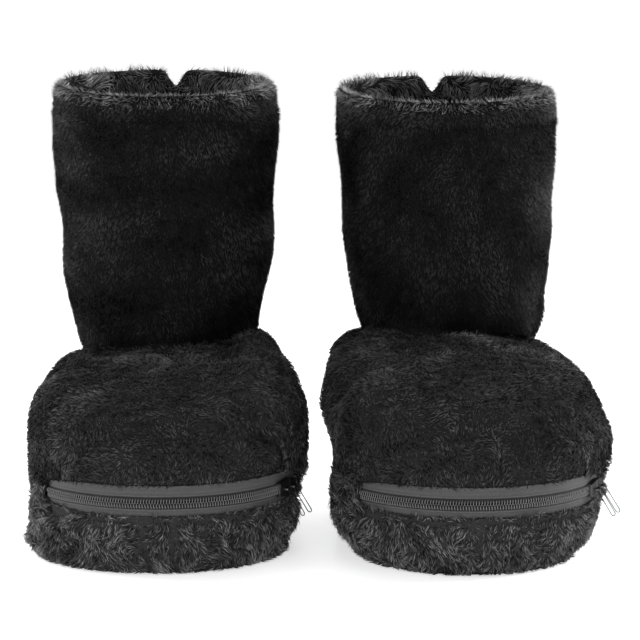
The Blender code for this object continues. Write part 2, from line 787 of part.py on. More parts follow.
def make_teeth(boot):
    """The two rows of teeth, whose facing edges zigzag in step, with a gap between them."""
    inner, outer = CHAIN_RADIUS, CHAIN_RADIUS + TOOTH_THICK
    half_pitch = math.degrees(TOOTH_PITCH / 2 / outer)
    group = 4
    count = int((ZIP_RIGHT_END - ZIP_LEFT_END) / half_pitch / group) * group
    for name, side in (("lower_teeth", -1.0), ("upper_teeth", 1.0)):
        made = bmesh.new()
        edge, back = [], []
        for i in range(count + 1):
            angle = ZIP_LEFT_END + (ZIP_RIGHT_END - ZIP_LEFT_END) * i / count
            spread = teeth_spread(angle)
            zigzag = TOOTH_DEPTH * (1.0 if i % 2 else -1.0)
            near = ZIP_HEIGHT + side * (TEETH_GAP * 0.75 + spread) + zigzag
            edge.append([made.verts.new(outward(angle) * radius + Vector((0.0, 0.0, near)))
                         for radius in (inner, outer)])
            if i % group == 0:
                far = ZIP_HEIGHT + side * (CHAIN_HALF_WIDTH + spread)
                back.append([made.verts.new(outward(angle) * radius + Vector((0.0, 0.0, far)))
                             for radius in (inner, outer)])
        for i in range(count):
            made.faces.new((edge[i][0], edge[i + 1][0], edge[i + 1][1], edge[i][1]))
        for j in range(len(back) - 1):
            stretch = edge[j * group:(j + 1) * group + 1]
            for depth in (0, 1):
                points = [pair[depth] for pair in stretch]
                made.faces.new(points + [back[j + 1][depth], back[j][depth]])
            made.faces.new((back[j][0], back[j][1], back[j + 1][1], back[j + 1][0]))
        made.faces.new((edge[0][0], edge[0][1], back[0][1], back[0][0]))
        made.faces.new((edge[-1][0], edge[-1][1], back[-1][1], back[-1][0]))
        bmesh.ops.recalc_face_normals(made, faces=made.faces)
        mesh = bpy.data.meshes.new(name)
        made.to_mesh(mesh)
        made.free()
        add_piece(boot, name, mesh, zip_nylon())


def make_end_stops(boot):
    """The clips across the chain's ends."""
    half_angle = math.degrees((STOP_LENGTH / 2 + FIT) / CHAIN_RADIUS)
    ends = (("far_stop", ZIP_LEFT_END - half_angle), ("near_stop", ZIP_RIGHT_END + half_angle))
    size = (STOP_LENGTH, TOOTH_THICK + STOP_OVERHANG, 2 * (CHAIN_HALF_WIDTH + STOP_OVERHANG))
    for name, angle in ends:
        made = bmesh.new()
        bmesh.ops.create_cube(made, size=1.0)
        bmesh.ops.scale(made, vec=size, verts=made.verts)
        mesh = bpy.data.meshes.new(name)
        made.to_mesh(mesh)
        made.free()
        stop = add_piece(boot, name, mesh, zip_metal())
        stop.location = outward(angle) * (CHAIN_RADIUS + size[1] / 2)
        stop.location.z = ZIP_HEIGHT
        stop.rotation_euler.z = math.radians(angle)
        rounding = stop.modifiers.new("edges", "BEVEL")
        rounding.width = STOP_OVERHANG / 2
        rounding.segments = 1


def slider_outline(inset, overrun=0.0):
    """The slider seen from outside, head towards +X, drawn in by inset and lengthened by overrun."""
    half = SLIDER_LENGTH / 2 + overrun
    tail = SLIDER_TAIL_HALF_WIDTH - inset
    head = SLIDER_HEAD_HALF_WIDTH - inset
    neck_share, shoulder_share = -0.30, 0.35
    neck, shoulder = SLIDER_LENGTH * neck_share, SLIDER_LENGTH * shoulder_share
    upper = [(-half, tail), (neck, tail), (shoulder, head), (half, head)]
    return upper + [(x, -y) for x, y in reversed(upper)]


def clipped_outline(corner):
    """The slider's outline with its four corners cut off."""
    half = SLIDER_LENGTH / 2
    tail, head = SLIDER_TAIL_HALF_WIDTH, SLIDER_HEAD_HALF_WIDTH
    neck_share, shoulder_share = -0.30, 0.35
    neck, shoulder = SLIDER_LENGTH * neck_share, SLIDER_LENGTH * shoulder_share
    upper = [(-half, tail - corner), (-half + corner, tail), (neck, tail), (shoulder, head),
             (half - corner, head), (half, head - corner)]
    return upper + [(x, -y) for x, y in reversed(upper)]


def raised(mesh, low, turn=None):
    """The mesh of a plate, turned and lifted to its height above the tape's axis."""
    made = bmesh.new()
    made.from_mesh(mesh)
    if turn:
        bmesh.ops.transform(made, matrix=turn, verts=made.verts)
    bmesh.ops.translate(made, vec=(0.0, 0.0, low), verts=made.verts)
    made.to_mesh(mesh)
    made.free()
    return mesh


def slab(name, outlines, low, high):
    """A plate between two heights of the slider's own frame."""
    mesh = as_mesh(plate(name, outlines, high - low))
    return raised(mesh, (low + high) / 2)


def slider_heights():
    """Heights of the slider's faces above the zip's arc axis."""
    roof_inside = CHAIN_RADIUS + TOOTH_THICK + FIT
    roof = roof_inside + SLIDER_PLATE
    flange = TAPE_RADIUS + TAPE_THICK + 1.5 * FIT
    base_outside = TAPE_RADIUS - 2.4 * FIT
    base = base_outside - SLIDER_PLATE
    bar = roof + PULL_END_WIDTH / 2 + FIT
    return {"roof_inside": roof_inside, "roof": roof, "flange": flange,
            "base_outside": base_outside, "base": base, "bar": bar}


def crown_outlines():
    """The crown seen from the side: an arch with the eye that the pull passes."""
    levels = slider_heights()
    foot = levels["roof"] - SLIDER_PLATE / 2
    top = levels["bar"] + CROWN_BAR_THICK / 2
    under = levels["bar"] - CROWN_BAR_THICK / 2
    half = CROWN_LENGTH / 2
    corner = CROWN_LEG / 2
    eye = half - CROWN_LEG
    outside = [(-half, foot), (-half, top - corner), (-half + corner, top), (half - corner, top),
               (half, top - corner), (half, foot)]
    sill = levels["roof"] - SLIDER_PLATE / 4
    inside = [(-eye, sill), (eye, sill), (eye, under), (-eye, under)]
    return [outside, inside]


def make_slider_mesh(boot):
    """The slider, in its own frame: X along the chain, Z outwards from the toe. Its head is at +X."""
    levels = slider_heights()
    holder = add_empty(boot, "slider_frame", (0.0, 0.0, 0.0))
    body = slab("slider_body", [clipped_outline(SLIDER_WALL / 2)], levels["flange"], levels["roof"])
    slider = bpy.data.objects.new("slider", body)
    boot["cutters"].objects.link(slider)
    slider.parent = holder
    channel = slab("slider_channel", [slider_outline(SLIDER_WALL, CUT_OVERRUN)],
                   levels["flange"] - CUT_OVERRUN, levels["roof_inside"])
    combine(slider, add_helper(boot, "slider_channel", channel, holder), "DIFFERENCE")
    base = slab("slider_base", [clipped_outline(SLIDER_WALL)], levels["base"], levels["base_outside"])
    combine(slider, add_helper(boot, "slider_base", base, holder), "UNION")
    front = SLIDER_LENGTH / 2 - SLIDER_POST_FROM_HEAD
    back = front - SLIDER_POST_LENGTH
    half = SLIDER_POST_WIDTH / 2
    diamond = [(back, 0.0), ((front + back) / 2, -half), (front, -half), (front, half),
               ((front + back) / 2, half)]
    post = slab("slider_post", [diamond], levels["base_outside"] - SLIDER_PLATE / 2,
                levels["roof_inside"] + SLIDER_PLATE / 2)
    combine(slider, add_helper(boot, "slider_post", post, holder), "UNION")
    upright = Matrix.Rotation(math.radians(90.0), 4, "X")
    crown = raised(as_mesh(plate("slider_crown", crown_outlines(), CROWN_BAR_WIDTH)), 0.0, upright)
    crown_helper = add_helper(boot, "slider_crown", crown, holder, (CROWN_TOWARDS_HEAD, 0.0, 0.0))
    combine(slider, crown_helper, "UNION")
    bpy.context.view_layer.update()
    graph = bpy.context.evaluated_depsgraph_get()
    mesh = bpy.data.meshes.new_from_object(slider.evaluated_get(graph))
    bpy.data.objects.remove(slider)
    mesh.name = "slider"
    return mesh


def pull_loop():
    """The pull's wire, hanging along -Y from its top bend round the crown's bar at the origin."""
    radius = (PULL_END_WIDTH - PULL_WIRE) / 2
    drop = PULL_LENGTH - 2 * radius - PULL_WIRE
    top = arc_points((0.0, 0.0), radius, 90.0, 270.0, 5)
    bottom = arc_points((0.0, -drop), radius, -90.0, 90.0, 5)
    return top + bottom


def make_sliders(boot):
    """Both sliders and their pulls, each on an empty that lies on its joint's axis."""
    slider_mesh = make_slider_mesh(boot)
    levels = slider_heights()
    facing_out = Matrix.Rotation(math.radians(90.0), 4, "X")
    for letter, angle, way in (("a", SLIDER_A_AT, 1.0), ("b", SLIDER_B_AT, -1.0)):
        track = add_empty(boot, f"slider_{letter}_track", (0.0, 0.0, ZIP_HEIGHT), angle)
        slider = add_piece(boot, f"slider_{letter}", slider_mesh, zip_metal(), track)
        half_turn = Matrix.Rotation(math.radians(90.0 - 90.0 * way), 4, "Y")
        slider.matrix_local = half_turn @ facing_out
        crown = (way * CROWN_TOWARDS_HEAD, -levels["bar"], 0.0)
        hinge = add_empty(boot, f"pull_{letter}_hinge", crown, 0.0, track)
        curve = wire("pull", pull_loop(), PULL_WIRE, True)
        pull = add_piece(boot, f"pull_{letter}", curve, zip_metal(), hinge)
        hanging = Matrix.Rotation(math.radians(90.0), 4, "Z") @ facing_out
        lean = Matrix.Rotation(math.radians(-PULL_LEAN), 4, "X")
        pull.matrix_local = lean @ hanging


def make_boot(side, stance, collection, cutters, whole):
    """One boot of the pair. Its stance says where it stands, and how its plush has settled."""
    empty = bpy.data.objects.new(f"{side}_boot", None)
    collection.objects.link(empty)
    empty.parent = whole
    empty.location.x = -stance["inner_side"] * BOOTS_APART / 2
    empty.rotation_euler.z = math.radians(stance["toe_out"])
    boot = {"side": side, "empty": empty, "collection": collection, "cutters": cutters}
    boot.update(stance)
    hole = heel_hole(boot)
    make_outsole(boot)
    make_sole_wall(boot, hole)
    make_wall_padding(boot, hole)
    make_foam_bed(boot)
    make_heating_sheet(boot)
    make_heating_wire(boot)
    make_thermal_cutout(boot)
    make_leads(boot)
    make_socket(boot)
    make_socket_nut(boot)
    make_footbed(boot)
    make_vamp_plush(boot)
    make_vamp_lining(boot)
    make_shaft_plush(boot)
    make_shaft_lining(boot)
    make_collar(boot)
    make_tapes(boot)
    make_teeth(boot)
    make_end_stops(boot)
    make_sliders(boot)
    return boot


def centre_on_floor(whole, collection):
    """Moves the pair so that the origin is under the middle of its box."""
    bpy.context.view_layer.update()
    graph = bpy.context.evaluated_depsgraph_get()
    places = []
    for piece in collection.objects:
        if piece.type == "EMPTY":
            continue
        finished = piece.evaluated_get(graph)
        mesh = finished.to_mesh()
        places += [finished.matrix_world @ vertex.co for vertex in mesh.vertices]
        finished.to_mesh_clear()
    for axis in (0, 1):
        values = [place[axis] for place in places]
        whole.location[axis] = -(min(values) + max(values)) / 2
    bpy.context.view_layer.update()


def report_places(boots):
    """Prints the world places of the joints' axes."""
    for boot in boots:
        for piece in boot["collection"].objects:
            if piece.type == "EMPTY" and piece.name.startswith(boot["side"]):
                place = piece.matrix_world.translation
                along = piece.matrix_world.to_3x3() @ Vector((1.0, 0.0, 0.0))
                print(piece.name, [round(v, 6) for v in place], [round(v, 6) for v in along])


def main():
    for old in list(bpy.data.objects):
        bpy.data.objects.remove(old)
    collection = bpy.data.collections.new("plush_foot_warmer")
    cutters = bpy.data.collections.new("cutters")
    bpy.context.scene.collection.children.link(collection)
    bpy.context.scene.collection.children.link(cutters)
    whole = bpy.data.objects.new("foot_warmer", None)
    collection.objects.link(whole)
    left_stance = {"inner_side": 1.0, "toe_out": LEFT_TOE_OUT, "crease": LEFT_CREASE_HEIGHT,
                   "rim": LEFT_RIM_HEIGHT}
    right_stance = {"inner_side": -1.0, "toe_out": RIGHT_TOE_OUT, "crease": RIGHT_CREASE_HEIGHT,
                    "rim": RIGHT_RIM_HEIGHT}
    left = make_boot("left", left_stance, collection, cutters, whole)
    right = make_boot("right", right_stance, collection, cutters, whole)
    centre_on_floor(whole, collection)
    report_places((left, right))


main()
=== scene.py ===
# %% [markdown]
# # A pair of heated plush boots
# The boots stand side by side on a pale floor, toes to the camera. Nearly all that shows is pile:
# short and combed down on the shafts, long and swirled over the feet, curly on the lower bands,
# and clumped inside. So most of this lesson is about growing pile on soft, slightly rumpled walls.
# The rest is the zip across each toe, with its woven tapes, its coils and its two sliders.
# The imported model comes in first. Every piece is placed by its nodes, so nothing needs fitting.

import json
import math

import bpy
import numpy as np
from mathutils import Matrix, Vector, kdtree


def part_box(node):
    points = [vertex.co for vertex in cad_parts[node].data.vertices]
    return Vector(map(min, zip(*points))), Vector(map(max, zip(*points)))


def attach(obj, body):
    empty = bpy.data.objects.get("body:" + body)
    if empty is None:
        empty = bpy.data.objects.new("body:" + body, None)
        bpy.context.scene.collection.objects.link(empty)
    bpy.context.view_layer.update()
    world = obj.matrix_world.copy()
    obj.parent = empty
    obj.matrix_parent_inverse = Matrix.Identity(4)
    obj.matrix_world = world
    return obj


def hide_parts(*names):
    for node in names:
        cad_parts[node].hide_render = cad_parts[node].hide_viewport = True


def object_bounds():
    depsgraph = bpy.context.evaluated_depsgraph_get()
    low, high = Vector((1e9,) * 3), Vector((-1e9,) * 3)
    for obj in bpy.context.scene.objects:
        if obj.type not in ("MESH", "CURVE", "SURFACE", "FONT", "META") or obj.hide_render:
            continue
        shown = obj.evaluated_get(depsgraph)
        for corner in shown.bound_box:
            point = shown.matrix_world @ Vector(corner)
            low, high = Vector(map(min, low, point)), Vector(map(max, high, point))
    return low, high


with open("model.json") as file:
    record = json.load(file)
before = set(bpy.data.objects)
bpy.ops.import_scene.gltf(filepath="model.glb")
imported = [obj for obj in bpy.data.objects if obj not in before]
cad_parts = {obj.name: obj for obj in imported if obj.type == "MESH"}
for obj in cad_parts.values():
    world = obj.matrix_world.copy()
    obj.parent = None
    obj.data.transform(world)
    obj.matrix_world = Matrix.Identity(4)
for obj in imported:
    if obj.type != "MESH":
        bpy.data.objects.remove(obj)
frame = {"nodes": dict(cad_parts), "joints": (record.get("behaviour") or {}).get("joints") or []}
cad_low, cad_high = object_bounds()
SIDES = ("left", "right")
BODY = "boots"


def boot_frame(side):
    """A boot's own frame: its origin under the toe circle's centre, +Y towards its heel."""
    name = f"{side}_slider_a_run"
    place = next(joint["pos_m"] for joint in frame["joints"] if joint["name"] == name)
    toe = Vector((place[0], place[1], 0.0))
    low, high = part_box(f"{side}_dc_socket")
    heel = (low + high) / 2 - toe
    return Matrix.Translation(toe) @ Matrix.Rotation(math.atan2(-heel.x, heel.y), 4, "Z")


def add_object(name, data):
    item = bpy.data.objects.new(name, data)
    bpy.context.scene.collection.objects.link(item)
    return item


BOOTS = {side: boot_frame(side) for side in SIDES}
ZIP_HEIGHT = frame["joints"][0]["pos_m"][2]
print("boots stand at", [tuple(round(v, 4) for v in BOOTS[side].translation) for side in SIDES])

# %% [markdown]
# ## The camera
# A long lens stands about two metres off, a little above the boots, so that the mouths of the
# shafts show as thin ovals. Its place was found by laying the model's outline over the
# photograph's, and the small shift puts the boots at the same height in the frame.

# %% Camera
PHOTO_SIDE = 640
TARGET = Vector((0.0, -0.05, 0.15))
CAMERA_DISTANCE = 2.102
CAMERA_ELEVATION = 8.85
CAMERA_AZIMUTH = 1.5
FOCAL_PIXELS = 3089.5
TARGET_PIXEL = (320.9, 330.6)
SENSOR_WIDTH = 36.0


def add_camera():
    data = bpy.data.cameras.new("camera")
    data.sensor_width = SENSOR_WIDTH
    data.lens = FOCAL_PIXELS * SENSOR_WIDTH / PHOTO_SIDE
    data.shift_x = (PHOTO_SIDE / 2 - TARGET_PIXEL[0]) / PHOTO_SIDE
    data.shift_y = (TARGET_PIXEL[1] - PHOTO_SIDE / 2) / PHOTO_SIDE
    camera = add_object("camera", data)
    up, round_z = math.radians(CAMERA_ELEVATION), math.radians(CAMERA_AZIMUTH)
    back = Vector((math.sin(round_z) * math.cos(up), -math.cos(round_z) * math.cos(up),
                   math.sin(up)))
    camera.location = TARGET + back * CAMERA_DISTANCE
    camera.rotation_euler = (-back).to_track_quat("-Z", "Y").to_euler()
    bpy.context.scene.camera = camera


add_camera()
bpy.context.scene.view_settings.view_transform = "Standard"

# %% [markdown]
# ## The studio
# A product picture on white. The backdrop is plain white wherever the camera or a reflection looks
# at it, while a dimmer grey lights the boots from all round. Four large lamps give them form: one
# in front, one at each side, a little behind, which brings up the edges of the pile, and one above
# for the rims and the flanks that face each other. The floor is lit paper: it glows a little, so
# it stays white round a faint shadow and lights the toes.

# %% Studio
BACKDROP_LIGHT = 0.45
FLOOR_GREY = 0.98
FLOOR_GLOW = 0.60
FLOOR_SIDE = 30.0
WHITE = (1.0, 1.0, 1.0, 1.0)
LAMP_SIDE = 1.0
LAMP_AIM = Vector((0.0, 0.0, 0.12))
# Name, place and power of each lamp
LAMPS = (
    ("key_light", (-0.45, -1.80, 0.65), 7.5),
    ("right_light", (1.30, 0.45, 0.70), 20.0),
    ("left_light", (-1.35, 0.45, 0.70), 15.0),
    ("top_light", (0.05, 0.60, 1.30), 11.0),
)


def add_world():
    world = bpy.data.worlds.new("studio")
    bpy.context.scene.world = world
    world.use_nodes = True
    nodes, links = world.node_tree.nodes, world.node_tree.links
    nodes.clear()
    rays = nodes.new("ShaderNodeLightPath")
    looks_at_it = rays.outputs["Is Camera Ray"]
    for kind in ("Is Glossy Ray", "Is Transmission Ray"):
        either = nodes.new("ShaderNodeMath")
        either.operation = "MAXIMUM"
        links.new(looks_at_it, either.inputs[0])
        links.new(rays.outputs[kind], either.inputs[1])
        looks_at_it = either.outputs[0]
    mix = nodes.new("ShaderNodeMixShader")
    links.new(looks_at_it, mix.inputs[0])
    for place, strength in ((1, BACKDROP_LIGHT), (2, 1.0)):
        background = nodes.new("ShaderNodeBackground")
        background.inputs["Color"].default_value = WHITE
        background.inputs["Strength"].default_value = strength
        links.new(background.outputs[0], mix.inputs[place])
    output = nodes.new("ShaderNodeOutputWorld")
    links.new(mix.outputs[0], output.inputs["Surface"])


def add_lamps():
    for name, place, power in LAMPS:
        data = bpy.data.lights.new(name, "AREA")
        data.size = LAMP_SIDE
        data.energy = power
        lamp = add_object(name, data)
        lamp.location = place
        lamp.rotation_euler = (LAMP_AIM - lamp.location).to_track_quat("-Z", "Y").to_euler()


def add_floor():
    bpy.ops.mesh.primitive_plane_add(size=FLOOR_SIDE, location=(0.0, 0.0, cad_low.z))
    floor = bpy.context.active_object
    floor.name = "floor"
    paint = bpy.data.materials.new("floor_paper")
    paint.use_nodes = True
    shader = paint.node_tree.nodes["Principled BSDF"]
    shader.inputs["Base Color"].default_value = (FLOOR_GREY, FLOOR_GREY, FLOOR_GREY, 1.0)
    shader.inputs["Roughness"].default_value = 0.9
    shader.inputs["Specular IOR Level"].default_value = 0.1
    shader.inputs["Emission Color"].default_value = WHITE
    shader.inputs["Emission Strength"].default_value = FLOOR_GLOW
    floor.data.materials.append(paint)


add_world()
add_lamps()
add_floor()

# %% [markdown]
# ## Working by hand, and working on points
# Pieces are modelled in edit mode. The long jobs, such as rumpling a wall by a fraction of a
# millimetre or placing thousands of tufts, work on arrays of points, in the boot's own frame,
# because there a height or an angle means the same on both boots.

# %% Tools
MERGE = 0.00002
# Triangles that meet and are shaped within these angles of a flat square become quads
QUAD_ANGLES = (math.radians(50.0), math.radians(60.0))
SHARP_ANGLE = math.radians(35.0)
# The noise: how many waves it adds up, how their steepness varies and what scales their sum
WAVES = 20
WAVE_RANGE = (0.6, 1.5)
WAVE_SCALE = 5.0


def pick(piece):
    bpy.ops.object.select_all(action="DESELECT")
    piece.select_set(True)
    bpy.context.view_layer.objects.active = piece


def start_edit(piece):
    pick(piece)
    bpy.ops.object.mode_set(mode="EDIT")
    bpy.ops.mesh.select_all(action="SELECT")


def end_edit():
    bpy.ops.object.mode_set(mode="OBJECT")


def apply_modifier(piece, modifier):
    pick(piece)
    bpy.ops.object.modifier_apply(modifier=modifier.name)


def shade_smooth(piece):
    piece.data.polygons.foreach_set("use_smooth", [True] * len(piece.data.polygons))


def face_out(piece):
    """Turns a closed piece's faces outwards and shades them smooth."""
    start_edit(piece)
    bpy.ops.mesh.normals_make_consistent(inside=False)
    end_edit()
    shade_smooth(piece)


def copy_of(node, name):
    """A copy of a node's mesh as a new piece, with its loose triangles merged into quads."""
    piece = add_object(name, frame["nodes"][node].data.copy())
    start_edit(piece)
    bpy.ops.mesh.customdata_custom_splitnormals_clear()
    bpy.ops.mesh.remove_doubles(threshold=MERGE)
    bpy.ops.mesh.tris_convert_to_quads(face_threshold=QUAD_ANGLES[0],
                                       shape_threshold=QUAD_ANGLES[1])
    bpy.ops.mesh.normals_make_consistent(inside=False)
    end_edit()
    return piece


def soften(piece, levels, crispness):
    """Rounds a piece with a subdivision surface whose edges stay fairly crisp, and keeps it."""
    start_edit(piece)
    bpy.ops.mesh.select_mode(type="EDGE")
    bpy.ops.mesh.select_all(action="DESELECT")
    bpy.ops.mesh.edges_select_sharp(sharpness=SHARP_ANGLE)
    bpy.ops.transform.edge_crease(value=crispness)
    bpy.ops.mesh.select_mode(type="VERT")
    end_edit()
    surface = piece.modifiers.new("soft", "SUBSURF")
    surface.levels = levels
    surface.render_levels = levels
    apply_modifier(piece, surface)
    shade_smooth(piece)


def points_of(piece):
    flat = np.empty(len(piece.data.vertices) * 3)
    piece.data.vertices.foreach_get("co", flat)
    return flat.reshape(-1, 3)


def normals_of(piece):
    flat = np.empty(len(piece.data.vertices) * 3)
    piece.data.vertex_normals.foreach_get("vector", flat)
    return flat.reshape(-1, 3)


def set_points(piece, points):
    piece.data.vertices.foreach_set("co", points.ravel())
    piece.data.update()


def into(side, points):
    """Points of the world, as points of the boot's frame."""
    place = np.array(BOOTS[side].inverted())
    return points @ place[:3, :3].T + place[:3, 3]


def turned_into(side, ways):
    return ways @ np.array(BOOTS[side].inverted())[:3, :3].T


def out_of(side, points):
    """Points of the boot's frame, as points of the world."""
    place = np.array(BOOTS[side])
    return points @ place[:3, :3].T + place[:3, 3]


def unit(ways):
    return ways / np.maximum(np.linalg.norm(ways, axis=-1, keepdims=True), 1e-9)


def ripple(points, size, seed):
    """Soft noise, mostly between -1 and 1, that changes over this size."""
    draw = np.random.default_rng(seed)
    waves = unit(draw.normal(size=(WAVES, 3))) * draw.uniform(*WAVE_RANGE, (WAVES, 1))
    phases = draw.uniform(0.0, 2 * math.pi, WAVES)
    return np.sin(points @ waves.T * (2 * math.pi / size) + phases).sum(1) / WAVE_SCALE


def ripples(points, size, seed):
    """Three noises at once, as a direction."""
    return np.stack([ripple(points, size, seed + turn) for turn in range(3)], axis=1)


def toe_angle(points):
    """Degrees round the toe from its tip, towards +X."""
    return np.degrees(np.arctan2(points[:, 0], -points[:, 1]))


def smooth_step(values, start, end):
    share = np.clip((values - start) / (end - start), 0.0, 1.0)
    return share * share * (3.0 - 2.0 * share)


print("tools ready")

# %% [markdown]
# ## Materials
# Shared effects are node groups that put out colours or bumps. The pile's colour needs only two
# numbers: how dark this tuft is among its neighbours, and how far along it one looks, because its
# roots carry painted shade, darker where no light gets in. Both are kept in the tufts' UV map.

# %% Node groups
UV_NAME = "OFBake"
# How dark and how light the darkest and the lightest tuft are
SHADE_RANGE = (0.05, 3.20)
# The part of the noise's range that runs from the dark colour to the light one
NOISE_RANGE = (0.3, 0.7)


def new_group(name, inputs, outputs):
    group = bpy.data.node_groups.new(name, "ShaderNodeTree")
    for label, kind, value in inputs:
        socket = group.interface.new_socket(label, in_out="INPUT", socket_type=kind)
        if value is not None:
            socket.default_value = value
    for label, kind in outputs:
        group.interface.new_socket(label, in_out="OUTPUT", socket_type=kind)
    return group, group.nodes.new("NodeGroupInput"), group.nodes.new("NodeGroupOutput")


def tuft_tone_group():
    """Colour of a tuft: from its root, darkened with painted shade, to its tip, lighter or darker
    than its neighbours.
    """
    group, given, result = new_group(
        "tuft_tone",
        [("Root", "NodeSocketColor", None), ("Tip", "NodeSocketColor", None)],
        [("Color", "NodeSocketColor")])
    nodes, links = group.nodes, group.links
    layout = nodes.new("ShaderNodeUVMap")
    layout.uv_map = UV_NAME
    split = nodes.new("ShaderNodeSeparateXYZ")
    links.new(layout.outputs[0], split.inputs[0])
    mix = nodes.new("ShaderNodeMix")
    mix.data_type = "RGBA"
    links.new(split.outputs["Y"], mix.inputs["Factor"])
    links.new(given.outputs["Root"], mix.inputs[6])
    links.new(given.outputs["Tip"], mix.inputs[7])
    shade = nodes.new("ShaderNodeMapRange")
    shade.inputs["To Min"].default_value, shade.inputs["To Max"].default_value = SHADE_RANGE
    links.new(split.outputs["X"], shade.inputs["Value"])
    scale = nodes.new("ShaderNodeVectorMath")
    scale.operation = "SCALE"
    links.new(mix.outputs[2], scale.inputs[0])
    links.new(shade.outputs[0], scale.inputs["Scale"])
    links.new(scale.outputs[0], result.inputs[0])
    return group


def grain_group():
    """Fine noise in Object coordinates, for colour and for bump."""
    group, given, result = new_group(
        "grain",
        [("Scale", "NodeSocketFloat", 400.0), ("Detail", "NodeSocketFloat", 4.0),
         ("Dark", "NodeSocketColor", None), ("Light", "NodeSocketColor", None)],
        [("Color", "NodeSocketColor"), ("Height", "NodeSocketFloat")])
    nodes, links = group.nodes, group.links
    place = nodes.new("ShaderNodeTexCoord")
    noise = nodes.new("ShaderNodeTexNoise")
    links.new(place.outputs["Object"], noise.inputs["Vector"])
    links.new(given.outputs["Scale"], noise.inputs["Scale"])
    links.new(given.outputs["Detail"], noise.inputs["Detail"])
    spread = nodes.new("ShaderNodeMapRange")
    spread.inputs["From Min"].default_value, spread.inputs["From Max"].default_value = NOISE_RANGE
    links.new(noise.outputs[0], spread.inputs["Value"])
    mix = nodes.new("ShaderNodeMix")
    mix.data_type = "RGBA"
    links.new(spread.outputs[0], mix.inputs["Factor"])
    links.new(given.outputs["Dark"], mix.inputs[6])
    links.new(given.outputs["Light"], mix.inputs[7])
    links.new(mix.outputs[2], result.inputs["Color"])
    links.new(noise.outputs[0], result.inputs["Height"])
    return group


TUFT_TONE = tuft_tone_group()
GRAIN = grain_group()
GRAIN_HEIGHT = 0.001
# Dark plating stays dark where it is seen at a grazing angle
EDGE_TONE = 0.12
TUFT_ROUGHNESS = 0.50
# Every grey is a trace bluer than neutral
BLUER = 1.01


def grey(value):
    return (value, value, value * BLUER, 1.0)


def new_material(name, roughness, metallic=0.0, sheen=0.0, specular=0.5):
    paint = bpy.data.materials.new(name)
    paint.use_nodes = True
    shader = paint.node_tree.nodes["Principled BSDF"]
    shader.inputs["Roughness"].default_value = roughness
    shader.inputs["Metallic"].default_value = metallic
    shader.inputs["Sheen Weight"].default_value = sheen
    shader.inputs["Sheen Roughness"].default_value = 0.5
    shader.inputs["Specular IOR Level"].default_value = specular
    return paint, shader


# A pile material: its root colour is painted shade, its tip colour is the fibre's own
def tuft_material(name, root, tip, specular=0.05):
    paint, shader = new_material(name, TUFT_ROUGHNESS, specular=specular)
    tone = paint.node_tree.nodes.new("ShaderNodeGroup")
    tone.node_tree = TUFT_TONE
    tone.inputs["Root"].default_value = grey(root)
    tone.inputs["Tip"].default_value = grey(tip)
    paint.node_tree.links.new(tone.outputs[0], shader.inputs["Base Color"])
    return paint


def grain_material(name, dark, light, scale, bump, roughness, metallic=0.0, sheen=0.0,
                   specular=0.5):
    """A material whose colour and bump come from the same fine noise."""
    paint, shader = new_material(name, roughness, metallic, sheen, specular)
    if metallic:
        shader.inputs["Specular Tint"].default_value = grey(EDGE_TONE)
    nodes, links = paint.node_tree.nodes, paint.node_tree.links
    noise = nodes.new("ShaderNodeGroup")
    noise.node_tree = GRAIN
    noise.inputs["Scale"].default_value = scale
    noise.inputs["Dark"].default_value = grey(dark)
    noise.inputs["Light"].default_value = grey(light)
    links.new(noise.outputs["Color"], shader.inputs["Base Color"])
    relief = nodes.new("ShaderNodeBump")
    relief.inputs["Strength"].default_value = bump
    relief.inputs["Distance"].default_value = GRAIN_HEIGHT
    links.new(noise.outputs["Height"], relief.inputs["Height"])
    links.new(relief.outputs[0], shader.inputs["Normal"])
    return paint


# Along the tape's height, from the coil outwards: the tone of the weave at each place. Under the
# coil it is dark with painted shade, with a light line of stitches beside it, and ribbed further
# out.
WEAVE_AND_SHADE_STOPS = ((0.00, 0.08), (0.20, 0.10), (0.23, 1.15), (0.27, 1.15), (0.30, 0.75), (0.40, 1.0),
               (0.55, 0.85), (0.70, 1.05), (0.85, 0.88), (1.00, 1.0))


def weave_material(name, dark, light):
    """The zip tape: fine noise, toned along the tape's height by its UV map, with painted shade
    under the coil.
    """
    paint = grain_material(name, dark, light, 1200.0, 0.4, 0.85, sheen=0.1)
    nodes, links = paint.node_tree.nodes, paint.node_tree.links
    layout = nodes.new("ShaderNodeUVMap")
    layout.uv_map = UV_NAME
    split = nodes.new("ShaderNodeSeparateXYZ")
    ramp = nodes.new("ShaderNodeValToRGB")
    for place, tone in WEAVE_AND_SHADE_STOPS:
        stop = ramp.color_ramp.elements.new(place) if 0.0 < place < 1.0 else (
            ramp.color_ramp.elements[0 if place == 0.0 else -1])
        stop.color = grey(tone)
    shade = nodes.new("ShaderNodeVectorMath")
    shade.operation = "MULTIPLY"
    base = nodes["Principled BSDF"].inputs["Base Color"]
    links.new(layout.outputs[0], split.inputs[0])
    links.new(split.outputs["Y"], ramp.inputs[0])
    links.new(base.links[0].from_socket, shade.inputs[0])
    links.new(ramp.outputs[0], shade.inputs[1])
    links.new(shade.outputs[0], base)
    return paint


